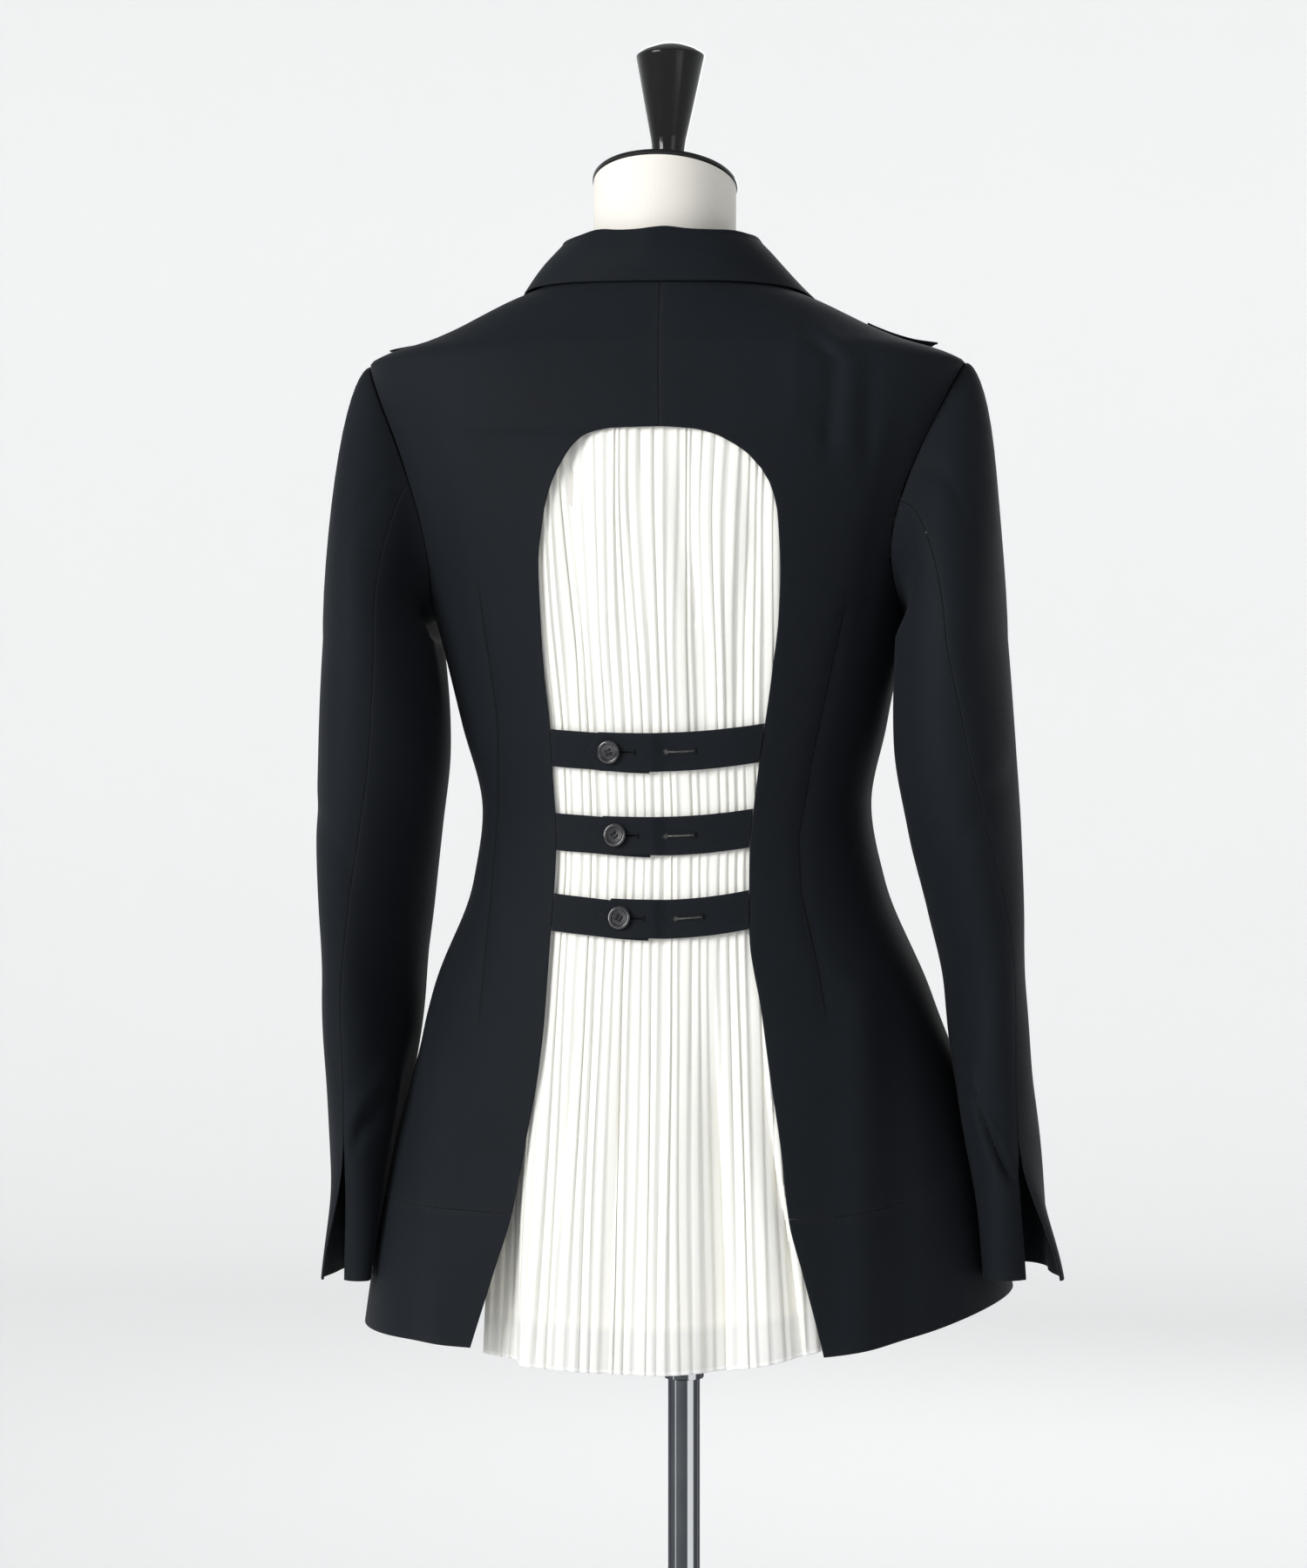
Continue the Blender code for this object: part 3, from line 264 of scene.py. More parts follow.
# Pleated panel and the smooth underlay behind it
PLEATS = 34
PLEAT_WALL = 0.0005
PLEAT_SETBACK = 0.0008  # of the crests behind the inner face of the jacket
UNDERLAY_WALL = 0.0006
PLEAT_DEPTH = 0.003
PLEAT_CREST = 0.7  # where in its pitch a pleat's crest lies
PLEAT_ROWS = (PLEAT_HEM_Z, 0.645, 0.700, 0.780, 0.860, 0.900, 0.938, 0.957, 0.975, 1.010, 1.070, 1.160, 1.235)
PANEL_WIDTH = ((PLEAT_HEM_Z, 0.254), (0.780, 0.228), (0.930, 0.206), (1.240, 0.206))
PLEAT_HEM_RISES = {-1: 0.0040 / 0.100**2, 1: 0.0165 / 0.115**2}  # curve of the hem on each side
PLEAT_HEM_FADE_Z = 0.780
WAVES_FROM_Z = 0.930
WAVE_SHIFTS = (-0.006, -0.003, 0, 0.003, 0.006)  # the waves are the mean of these, so they turn softly
WaveRow = namedtuple("WaveRow", "x depth")
WAVES = (
    WaveRow(-0.1280, 0.0240),
    WaveRow(-0.0960, 0.0240),
    WaveRow(-0.0886, 0.0020),
    WaveRow(-0.0790, 0.0000),
    WaveRow(-0.0566, 0.0000),
    WaveRow(-0.0114, 0.0040),
    WaveRow(0.0111, 0.0000),
    WaveRow(0.0461, 0.0120),
    WaveRow(0.0731, 0.0000),
    WaveRow(0.1154, 0.0040),
    WaveRow(0.1280, 0.0100),
)
UnderlayRow = namedtuple("UnderlayRow", "z depth half_width")
UNDERLAY = (
    UnderlayRow(0.6435, 0.0330, 0.112),
    UnderlayRow(0.7200, 0.0250, 0.104),
    UnderlayRow(0.7800, 0.0195, 0.101),
    UnderlayRow(0.8600, 0.0130, 0.098),
    UnderlayRow(0.9260, 0.0080, 0.096),
    UnderlayRow(0.9750, 0.0071, 0.096),
    UnderlayRow(1.2150, 0.0072, 0.096),
)
UNDERLAY_ROWS = (0.6435, 0.700, 0.780, 0.860, 0.900, 0.938, 0.957, 0.975, 1.010, 1.070, 1.160, 1.215)

# Back straps
Strap = namedtuple("Strap", "left_z middle_z right_z tip_x button_x")
STRAPS = (
    Strap(1.0136, 1.0105, 1.0160, -0.0434, -0.0274),
    Strap(0.9590, 0.9563, 0.9613, -0.0421, -0.0247),
    Strap(0.9070, 0.9028, 0.9093, -0.0356, -0.0207),
)
STRAP_HALF = 0.0125
STRAP_POINT = 0.009  # length of the arrow end
STRAP_LIFT = 0.0019
STRAP_LIFT_END = (0.001, 0.012)  # past the under strap's end the over strap comes down between these
STRAP_STAND = 0.0006  # how far the straps stand off the skin
UNDER_STRAP_END_X = -0.002
UNDER_STRAP_DROP = 0.0016

BUTTON_RADIUS = 0.0075
BUTTON_HEIGHT = 0.003
FRONT_BUTTON_RADIUS = 0.010
FRONT_BUTTON_Z = 1.028
BUTTON_GAP = 0.0003

# Plain flap over the front of each shoulder
FLAP_X = (0.134, 0.187)
FLAP_SHORTER = {-1: 0, 1: 0.007}
FLAP_TAPER = 0.014
FLAP_START_Y = 0.003
FLAP_DROP_Y = 0.042
FLAP_RISE = 0.003
FLAP_LIFT = 0.0005

# Dress form
FormRing = namedtuple("FormRing", "z half_width back_y front_y")
NECK_Y = -0.052
TORSO = (
    FormRing(0.720, 0.146, -0.106, 0.078),
    FormRing(0.740, 0.154, -0.111, 0.084),
    FormRing(0.780, 0.160, -0.114, 0.088),
    FormRing(0.856, 0.148, -0.112, 0.080),
    FormRing(0.926, 0.122, -0.105, 0.066),
    FormRing(0.975, 0.114, -0.103, 0.060),
    FormRing(1.030, 0.126, -0.111, 0.074),
    FormRing(1.100, 0.140, -0.122, 0.100),
    FormRing(1.160, 0.150, -0.126, 0.096),
    FormRing(1.220, 0.163, -0.1245, 0.072),
    FormRing(1.250, 0.168, -0.1245, 0.052),
    FormRing(1.272, 0.167, -0.1230, 0.036),
    FormRing(1.282, 0.1525, -0.1205, 0.030),
    FormRing(1.2905, 0.1325, -0.1180, 0.024),
    FormRing(1.299, 0.1142, -0.1150, 0.014),
    FormRing(1.3075, 0.0972, -0.1120, 0.006),
    FormRing(1.317, 0.0762, -0.1085, -0.001),
    FormRing(1.325, 0.0586, -0.1043, -0.003),
)
NECK_HALF_WIDTH = 0.0472
NECK_HALF_DEPTH = 0.0502
NECK_RINGS = (1.337, 1.362)
NECK_TOP_Z = 1.386
NECK_SLOPE = radians(15)
CAP_HEIGHT = 0.0035
CAP_OVER = 0.0008
KNOB_TOP_Z = 1.481
KNOB_ASIDE = (0.0018, 0.0040)  # how far right of the neck its foot and its top stand
TurnedRow = namedtuple("TurnedRow", "radius z")
KNOB = (
    TurnedRow(0.0118, 1.3905),
    TurnedRow(0.0112, 1.3970),
    TurnedRow(0.0108, 1.4080),
    TurnedRow(0.0117, 1.4170),
    TurnedRow(0.0127, 1.4220),
    TurnedRow(0.0172, 1.4440),
    TurnedRow(0.0216, 1.4660),
    TurnedRow(0.0226, 1.4710),
    TurnedRow(0.0228, 1.4722),
    TurnedRow(0.0225, 1.4733),
    TurnedRow(0.0213, 1.4744),
    TurnedRow(0.0180, 1.4766),
    TurnedRow(0.0120, 1.4792),
    TurnedRow(0.0060, 1.4806),
    TurnedRow(0.0004, KNOB_TOP_Z + 0.0001),
)
KNOB_LEVEL_Z = 1.4100  # up to here its rings turn from the slant of the lid to level
POLE_RADIUS = 0.01075
POLE_COLLAR_RADIUS = 0.0135
POLE_COLLAR_Z = 0.588
BASE_TOP_Z = 0.018
BASE = (
    TurnedRow(0.0000, BASE_TOP_Z),
    TurnedRow(0.0280, BASE_TOP_Z),
    TurnedRow(0.0340, 0.0160),
    TurnedRow(0.0480, 0.0115),
    TurnedRow(0.1100, 0.0095),
    TurnedRow(0.1720, 0.0075),
    TurnedRow(0.1785, 0.0055),
    TurnedRow(0.1800, 0.0030),
    TurnedRow(0.1795, 0.0000),
    TurnedRow(0.0000, 0.0000),
)


def smooth(rows):
    """A function of the rows' first column that runs through every row with no overshoot."""
    kind = type(rows[0])
    keys = [row[0] for row in rows]
    values = [np.array(row[1:], float) for row in rows]
    spans = np.diff(keys)
    steps = [(after - before) / span for before, after, span in zip(values, values[1:], spans)]
    slopes = [steps[0]]
    for before, after in zip(steps, steps[1:]):
        total = before + after
        safe = np.where(total == 0, 1, total)
        slopes.append(np.where(before * after > 0, 2 * before * after / safe, 0))
    slopes.append(steps[-1])

    @cache
    def value(key):
        i = min(max(bisect(keys, key) - 1, 0), len(keys) - 2)
        t = min(max((key - keys[i]) / spans[i], 0), 1)
        ends = values[i] * (1 + 2 * t) * (1 - t) ** 2 + values[i + 1] * t * t * (3 - 2 * t)
        bend = slopes[i] * t * (1 - t) ** 2 - slopes[i + 1] * t * t * (1 - t)
        found = ends + spans[i] * bend
        return kind(key, *map(float, found))

    return value


body_at = smooth(BODY)
opening_at = smooth(OPENING)
front_edge_at = smooth(FRONT_EDGE)
lapel_edge_at = smooth(LAPEL_EDGE)
sleeve_at = smooth(SLEEVE)
back_seam_at = smooth(BACK_SEAM)
collar_at = smooth(COLLAR)
underlay_at = smooth(UNDERLAY)


def eased(low, high, value):
    """0 up to low, 1 from high on, and smooth between."""
    t = np.clip((value - low) / (high - low), 0, 1)
    return t * t * (3 - 2 * t)


def mixed(low, high, t):
    return low + (high - low) * t


def spread(start, end, count):
    return [mixed(start, end, k / count) for k in range(count + 1)]


def soft_max(one, other, width):
    return (one + other + sqrt((one - other) ** 2 + width**2)) / 2


# The skin that the cloth follows


def on_ring(ring, side, turn):
    angle = turn * pi / 2
    across = abs(cos(angle)) ** (2 / ROUND)
    if cos(angle) < 0:
        across = -across
    along = abs(sin(angle)) ** (2 / ROUND)
    reach = ring.front if turn > 0 else -ring.back
    return Vector((side * ring.half_width * across, ring.middle + reach * along, ring.z))


def skin(z, side, turn, lift=0.0):
    """The point at this place, lifted off the skin along its outward normal."""
    point = on_ring(body_at(z), side, turn)
    kick = Vector((0, 0, hem_kick(point)))
    if not lift:
        return point + kick
    step = 0.0005
    middle_z = min(z, NECK_Z - step)
    along_turn = on_ring(body_at(z), side, turn + step) - on_ring(body_at(z), side, turn - step)
    along_z = on_ring(body_at(middle_z + step), side, turn) - on_ring(body_at(middle_z - step), side, turn)
    return point + kick + along_turn.cross(along_z).normalized() * side * lift


def hem_kick(point):
    share = max(point.x - KICK_X[0], 0) / (KICK_X[1] - KICK_X[0])
    return KICK * share**KICK_POWER * (1 - eased(*KICK_Z, point.z))


def leaned(z):
    return LEAN * eased(*LEAN_Z, z)


def worn(point):
    """Where a point of the upright, even form and jacket ends up."""
    x, y, z = point
    tilt = TILT * eased(*TILT_Z, z) * (1 - eased(NECK_Z, TILT_END_Z, z))
    return (x - leaned(z), y, z - tilt * x)


def turn_at_x(z, x, face):
    """The turn at a distance from the centre, on the back (face -1) or the front (+1)."""
    share = min(abs(x) / body_at(z).half_width, 1)
    turn = acos(share ** (ROUND / 2)) / (pi / 2)
    return face * (turn if x >= 0 else 2 - turn)


def turn_at_reach(z, reach, face):
    """The turn at a distance behind (face -1) or before (+1) the side."""
    ring = body_at(z)
    share = reach / (ring.front if face > 0 else ring.back)
    return face * asin(min(share, 1) ** (ROUND / 2)) / (pi / 2)


def width_at(y, z):
    """How far the skin reaches to the side at this depth."""
    ring = body_at(z)
    reach = ring.front if y > ring.middle else ring.back
    share = min(abs(y - ring.middle) / reach, 1)
    return ring.half_width * (1 - share**ROUND) ** (1 / ROUND)


def height_at(x, y):
    """The height of the shoulder above a place on the floor, found by halving."""
    low, high = ARMHOLE_Z, NECK_Z
    for _ in range(30):
        middle = (low + high) / 2
        if width_at(y, middle) > abs(x):
            low = middle
        else:
            high = middle
    return low


def armhole_reach(z, face, inset=0.0):
    share = (z - ARMHOLE_Z) / (ARMHOLE_HALF_HEIGHT - inset)
    if abs(share) >= 1:
        return 0
    return ARMHOLE_REACH[face] * sqrt(1 - share * share) * (1 - ARMHOLE_TAPER * share) - inset


def outer_turn(z, face):
    """The side seam, the armhole's edge or the shoulder seam, whichever is at this height."""
    return turn_at_reach(z, max(armhole_reach(z, face), SEAM_GAP / 2), face)


def opening_edge(z, side):
    """How far the opening's edge lies to its side. The edge stays where it is as the jacket leans."""
    row = opening_at(z)
    return (row.left if side < 0 else row.right) + side * leaned(z)


def back_inner_turn(z, side):
    """The opening's edge, or the centre back seam above it."""
    seam_x = side * float(np.interp(z, *zip(*CENTRE_SEAM_X))) + SEAM_GAP / 2
    if z >= OPENING_TOP_Z:
        return turn_at_x(z, seam_x, -1)
    return turn_at_x(z, max(opening_edge(z, side), seam_x), -1)


def front_lap(z, side, turn):
    """The right front rises over the left one where they lap."""
    if side < 0:
        return 0
    x = on_ring(body_at(z), side, turn).x
    return LAP_LIFT * (1 - eased(LAP_KNEE - LAP, 2 * LAP_KNEE - LAP, x)) * (1 - eased(*LAP_END_Z, z))


def front_inner_turn(z):
    return turn_at_x(z, front_edge_at(z).x, 1)


def armhole_point(side, angle):
    """A point just inside the armhole's edge: 0 degrees is its top and 90 its back."""
    z = ARMHOLE_Z + (ARMHOLE_HALF_HEIGHT - SEAM_GAP) * cos(radians(angle))
    face = -1 if sin(radians(angle)) >= 0 else 1
    return skin(z, side, turn_at_reach(z, max(armhole_reach(z, face, SEAM_GAP), 0), face))


def sleeve_ring_point(side, z, angle, flare=0.0):
    ring = sleeve_at(z)
    turn, tilt = radians(angle), radians(ring.twist)
    short_axis = Vector((cos(tilt), sin(tilt), 0))
    long_axis = Vector((sin(tilt), -cos(tilt), 0))
    out = short_axis * cos(turn) / ring.half_short + long_axis * sin(turn) / ring.half_long
    point = Vector((ring.x, ring.y, z)) + out.normalized() * flare
    point += short_axis * ring.half_short * cos(turn) + long_axis * ring.half_long * sin(turn)
    toward_cuff = 1 - eased(CUFF_Z, CUFF_SHIFT_TOP_Z, z)
    point.x += CUFF_SHIFT[side] * toward_cuff
    point.z += CUFF_RISE[side] * toward_cuff
    point.x = side * soft_max(point.x, width_at(point.y, z) + SLEEVE_CLEAR, SLEEVE_SOFT)
    return point


def cap_point(side, angle, t):
    """A point between the armhole and the first full ring of the sleeve."""
    start = armhole_point(side, angle)
    end = sleeve_ring_point(side, SLEEVE_TOP_Z, angle)
    turn = radians(angle)
    distance = (end - start).length
    lead = Vector((side, -CAP_SPREAD * sin(turn), CAP_SPRING * cos(turn))).normalized()
    leave = start + lead * min(CAP_LEAD, CAP_LEAD_SHARE * distance)
    arrive = end + Vector((0, 0, CAP_FALL * distance))
    rest = 1 - t
    point = start * rest**3 + leave * 3 * rest * rest * t + arrive * 3 * rest * t * t + end * t**3
    share = eased(0, 0.5, t)
    least = width_at(point.y, point.z) + SLEEVE_CLEAR * share
    if t:
        point.x = side * soft_max(side * point.x, least, SLEEVE_SOFT * share)
    return point


def back_seam_angle(z, side):
    row = back_seam_at(z)
    return row.left if side < 0 else row.right


def back_at_x(z, x, lift):
    side = 1 if x >= 0 else -1
    return skin(z, side, turn_at_x(z, abs(x), -1), lift)


def pleat_hem_rise(x):
    """The panel's hem curves up a little to the left and more to the right."""
    return PLEAT_HEM_RISES[1 if x > 0 else -1] * x**2


def strap_middle(strap, x):
    """The height of a strap's middle line, which sags a little between its ends."""
    side = -1 if x < 0 else 1
    end_z = strap.left_z if x < 0 else strap.right_z
    return mixed(strap.middle_z, end_z, (x / opening_edge(strap.middle_z, side)) ** 2)


def over_strap_lift(x):
    start, end = (UNDER_STRAP_END_X + past for past in STRAP_LIFT_END)
    return STRAP_LIFT * (1 - eased(start, end, x))


def form_ring(row):
    ring = Ring(row.z, row.half_width, 0, 0, body_at(row.z).middle)
    ring = ring._replace(back=ring.middle - row.back_y, front=row.front_y - ring.middle)
    points = []
    for k in range(FORM_COLUMNS):
        turn = mixed(-1, 3, k / FORM_COLUMNS)
        if turn <= 1:
            points.append(on_ring(ring, 1, turn))
        else:
            points.append(on_ring(ring, -1, 2 - turn))
    return points


def neck_ring(z, slope):
    points = []
    for k in range(FORM_COLUMNS):
        angle = 2 * pi * k / FORM_COLUMNS - pi / 2
        y = NECK_HALF_DEPTH * sin(angle)
        points.append(Vector((NECK_HALF_WIDTH * cos(angle), NECK_Y + y, z - y * tan(slope))))
    return points


# Relief on the cloth

Fold = namedtuple("Fold", "line width height")  # line is a tuple of (z, x), from its foot to its top
BACK_FOLDS = (
    Fold(((1.205, 0.1300), (1.262, 0.1325), (1.292, 0.1080)), 0.0060, 0.0016),
    Fold(((1.205, 0.1180), (1.262, 0.1210), (1.285, 0.1010)), 0.0050, -0.0024),
    Fold(((1.226, 0.0980), (1.272, 0.0970)), 0.0050, 0.0012),
    Fold(((1.205, 0.1425), (1.262, 0.1440)), 0.0050, -0.0020),
    Fold(((0.600, 0.1370), (0.720, 0.1350), (0.860, 0.1310)), 0.0130, 0.0035),
    Fold(((0.600, 0.1640), (0.720, 0.1590), (0.860, 0.1480)), 0.0120, -0.0025),
    Fold(((0.600, -0.1350), (0.705, -0.1430), (0.820, -0.1540)), 0.0120, 0.0030),
    Fold(((0.600, -0.1650), (0.705, -0.1690), (0.820, -0.1700)), 0.0130, -0.0025),
    Fold(((1.100, -0.1280), (1.180, -0.1410), (1.240, -0.1600)), 0.0090, -0.0010),
    Fold(((1.080, 0.1330), (1.160, 0.1480), (1.230, 0.1650)), 0.0080, -0.0012),
    Fold(((0.930, -0.1080), (1.010, -0.1210), (1.080, -0.1300)), 0.0080, 0.0007),
)
DARTS = {
    "left": ((0.8371, -0.1190), (0.9325, -0.1137), (1.0294, -0.1069), (1.0714, -0.1093), (1.1166, -0.1137)),
    "right": (
        (0.8443, 0.1108),
        (0.8716, 0.1059),
        (0.9197, 0.0940),
        (0.9556, 0.0918),
        (1.0091, 0.1021),
        (1.1065, 0.1261),
    ),
}
SLOW_WAVE = 0.0006
QUICK_WAVE = 0.00025
CALM = 0.6  # how much less uneven the cloth is on the shoulders
CALM_Z = (1.25, 1.30)
BACK_DEPTH = 0.03  # this far behind the side, the folds of the back are at their full height
DART_DIP = 0.0008
DART_SOFT = 0.004
DART_FADE = 0.012  # height over which a dart's ends die away
BODY_FOLD_FADE = 0.020
PANEL_FOLD_FADE = 0.025
SLEEVE_FOLD_FADE = 12  # degrees
CAP_RELIEF_SHARE = 0.3  # share of the sleeve's head over which its relief sets in
SleeveFold = namedtuple("SleeveFold", "side line width height")  # line is a tuple of (z, angle)
SLEEVE_FOLDS = (
    SleeveFold(1, ((0.727, 66), (0.740, 88), (0.760, 108), (0.784, 122)), 0.0060, -0.0060),
    SleeveFold(1, ((0.742, 66), (0.756, 88), (0.776, 108), (0.800, 122)), 0.0070, 0.0030),
    SleeveFold(-1, ((0.752, 96), (0.768, 126), (0.786, 150)), 0.0080, -0.0030),
    SleeveFold(-1, ((0.770, 96), (0.786, 126), (0.804, 150)), 0.0080, 0.0018),
    SleeveFold(1, ((1.170, 62), (1.215, 72), (1.250, 84)), 0.0120, -0.0022),
    SleeveFold(-1, ((1.150, 70), (1.200, 78), (1.245, 86)), 0.0120, -0.0018),
    SleeveFold(1, ((0.955, 100), (0.985, 60), (1.000, 20)), 0.0090, -0.0014),
    SleeveFold(-1, ((0.930, 110), (0.960, 70), (0.975, 30)), 0.0090, -0.0012),
)


def bell(distance, width):
    return np.exp(-((distance / width) ** 2))


def within(low, high, fade, value):
    """1 between low and high, 0 outside, and smooth at both ends."""
    return eased(low - fade, low + fade, value) * (1 - eased(high - fade, high + fade, value))


def along(line, z, end_fade):
    """The line's place at each height, and how strong it is there."""
    heights, places = zip(*line)
    return np.interp(z, heights, places), within(heights[0], heights[-1], end_fade, z)


def unevenness(x, y, z):
    """The slight waviness of cloth that hangs free."""
    a = np.sin(31 * x + 17 * z + 1.3) * np.sin(19 * z - 23 * y + 0.6)
    b = np.sin(67 * x - 29 * y + 11 * z) * np.sin(53 * z + 13 * x + 2.1)
    return SLOW_WAVE * a + QUICK_WAVE * b


def body_relief(points):
    x, y, z = points[..., 0], points[..., 1], points[..., 2]
    heights = [ring.z for ring in BODY]
    middle = np.interp(z, heights, [ring.middle for ring in BODY])
    on_back = eased(0, BACK_DEPTH, middle - y)
    relief = unevenness(x, y, z) * (1 - CALM * eased(*CALM_Z, z))
    for fold in BACK_FOLDS:
        place, strength = along(fold.line, z, BODY_FOLD_FADE)
        relief = relief + fold.height * bell(x - place, fold.width) * strength * on_back
    aside, strength = dart_channels(points)
    return relief - DART_DIP * bell(aside, DART_SOFT) * strength


def dart_channels(points):
    """How far aside of its dart each point lies, and how strong the dart is there."""
    x, y, z = points[..., 0], points[..., 1], points[..., 2]
    place, strength = along(DARTS["right" if x.mean() > 0 else "left"], z, DART_FADE)
    return x - place, strength * (y < 0)


def sleeve_relief(side, z, angle):
    """A slight waviness and the folds of the sleeve on this side."""
    relief = SLOW_WAVE * sin(0.05 * angle + 31 * z + side) * sin(23 * z + 0.03 * angle)
    for fold in SLEEVE_FOLDS:
        if fold.side != side:
            continue
        heights, places = zip(*fold.line)
        level = float(np.interp(angle, *zip(*sorted(zip(places, heights)))))
        ends = within(min(places), max(places), SLEEVE_FOLD_FADE, angle)
        relief += fold.height * bell(z - level, fold.width) * ends
    return relief


# Building objects


def linked(name, data):
    thing = bpy.data.objects.new(name, data)
    bpy.context.scene.collection.objects.link(thing)
    return thing


def new_object(name, points, faces, material, uvs=None, channels=None):
    mesh = bpy.data.meshes.new(name)
    mesh.from_pydata([tuple(point) for point in points], [], faces)
    mesh.shade_smooth()
    mesh.set_sharp_from_angle(angle=radians(50))
    mesh.materials.append(materials[material])
    if uvs is not None:
        corners = np.zeros(len(mesh.loops), np.int32)
        mesh.loops.foreach_get("vertex_index", corners)
        mesh.uv_layers.new(name="cloth").data.foreach_set("uv", uvs[corners].ravel())
    for channel, values in (channels or {}).items():
        mesh.attributes.new(channel, "FLOAT", "POINT").data.foreach_set("value", np.ravel(values))
    return linked(name, mesh)


def belongs(thing, slot, *nodes):
    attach(thing, "root")
    if nodes:
        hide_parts(*nodes)
    return thing


def grid_faces(rows, columns, flip=False, closed=False):
    faces = []
    for row in range(rows - 1):
        for column in range(columns if closed else columns - 1):
            after = (column + 1) % columns
            face = (
                row * columns + column,
                row * columns + after,
                (row + 1) * columns + after,
                (row + 1) * columns + column,
            )
            faces.append(face[::-1] if flip else face)
    return faces


def worn_all(points):
    return np.stack(worn(np.moveaxis(points, -1, 0)), -1)


def with_edge_lines(grid):
    """Adds lines close to the first and the last column, so that the edges can turn in softly."""

    def lines(edge, inner):
        span = np.linalg.norm((inner - edge)[:, :3], axis=1, keepdims=True)
        shares = [np.minimum(d / np.maximum(span, 1e-9), 0.22 * (k + 1)) for k, d in enumerate(EDGE_LINES)]
        return [edge + (inner - edge) * share for share in shares]

    first = lines(grid[:, 0], grid[:, 1])
    last = lines(grid[:, -1], grid[:, -2])
    return np.stack([grid[:, 0], *first, *np.moveaxis(grid[:, 1:-1], 1, 0), *last[::-1], grid[:, -1]], 1)


def lengths(points, axis):
    steps = np.linalg.norm(np.diff(points, axis=axis), axis=-1)
    return np.concatenate([np.zeros_like(np.take(steps, [0], axis)), np.cumsum(steps, axis)], axis)


def cloth(name, rows, flip=False, material="suiting", wall=WALL, relief=None, channels=None, soft_edges=True):
    """A sheet through rows of points, thickened behind its visible face, with edges that turn in."""
    points = np.array([[tuple(point) for point in row] for row in rows])
    extras = {"relief": np.zeros(points.shape[:2]) if relief is None else relief, **(channels or {})}
    grid = np.concatenate([points, *(np.asarray(values)[..., None] for values in extras.values())], -1)
    if soft_edges:
        grid = with_edge_lines(grid)
        grid = np.swapaxes(with_edge_lines(np.swapaxes(grid, 0, 1)), 0, 1)
    points = grid[..., :3]
    across, down = lengths(points, 1), lengths(points, 0)
    from_side = np.minimum(across, across[:, -1:] - across)
    from_end = np.minimum(down, down[-1:] - down)
    inside = np.minimum(from_side, from_end)
    normal = np.cross(np.gradient(points, axis=1), np.gradient(points, axis=0)) * (-1 if flip else 1)
    normal /= np.maximum(np.linalg.norm(normal, axis=-1, keepdims=True), 1e-12)
    rounding = np.clip(1 - inside / EDGE_ROUND, 0, 1) if soft_edges else 0 * inside
    drop = wall * EDGE_DROP * (1 - np.sqrt(1 - 0.98 * rounding**2))
    points = worn_all(points + normal * (grid[..., 3] - drop)[..., None])
    extra = {key: grid[..., 4 + k] for k, key in enumerate(list(extras)[1:])}
    extra["edge"] = np.exp(-inside / EDGE_WEAR)
    uvs = np.stack([across, down], -1).reshape(-1, 2)
    faces = grid_faces(grid.shape[0], grid.shape[1], flip)
    thing = new_object(name, points.reshape(-1, 3), faces, material, uvs, extra)
    solidify = thing.modifiers.new("Wall", "SOLIDIFY")
    solidify.thickness = wall
    solidify.offset = -1
    thing["cut"] = cut_of(points)
    return thing


def cut_of(points):
    """The width, length and area of the cloth before it was shaped."""
    du, dv = np.diff(points, axis=1)[:-1], np.diff(points, axis=0)[:, :-1]
    area = float(np.linalg.norm(np.cross(du, dv), axis=-1).sum())
    width, length = float(lengths(points, 1).max()), float(lengths(points, 0).max())
    return [width, length, min(area, width * length)]


def sheet(thing, slot, nodes):
    belongs(thing, slot, *nodes)


def denser(heights, step=ROW_STEP):
    found = [heights[0]]
    for after in heights[1:]:
        before = found[-1]
        count = max(int(np.ceil((after - before) / step - 1e-6)), 1)
        found += [mixed(before, after, k / count) for k in range(1, count + 1)]
    return found


def capped_faces(rings, count):
    """The faces of a closed body through rings of so many points each."""
    faces = grid_faces(rings, count, closed=True)
    faces.append(tuple(reversed(range(count))))
    faces.append(tuple(range((rings - 1) * count, rings * count)))
    return faces


def lofted(name, rings, material):
    """A closed body through rings of points, from the lowest up."""
    points = [point for ring in rings for point in ring]
    return new_object(name, points, capped_faces(len(rings), len(rings[0])), material)


def eased_rings(rings, count):
    """The rings, and count more between each two, on smooth curves through them."""
    found = []
    stack = [np.array([tuple(point) for point in ring]) for ring in rings]
    stack = [2 * stack[0] - stack[1], *stack, 2 * stack[-1] - stack[-2]]
    for a, b, c, d in zip(stack, stack[1:], stack[2:], stack[3:]):
        for k in range(count):
            t = k / count
            curve = 2 * b + (c - a) * t + (2 * a - 5 * b + 4 * c - d) * t**2 + (3 * b - a - 3 * c + d) * t**3
            found.append(0.5 * curve)
    found.append(stack[-2])
    return found


def circle(radius, z, steps):
    angles = [2 * pi * k / steps for k in range(steps)]
    return [(radius * cos(angle), radius * sin(angle), z) for angle in angles]


def lathe(name, profile, material, steps):
    """A profile from the top of the axis, down the outer side, to the foot of the axis."""
    return lofted(name, [circle(radius, z, steps) for radius, z in reversed(profile)], material)


# The jacket


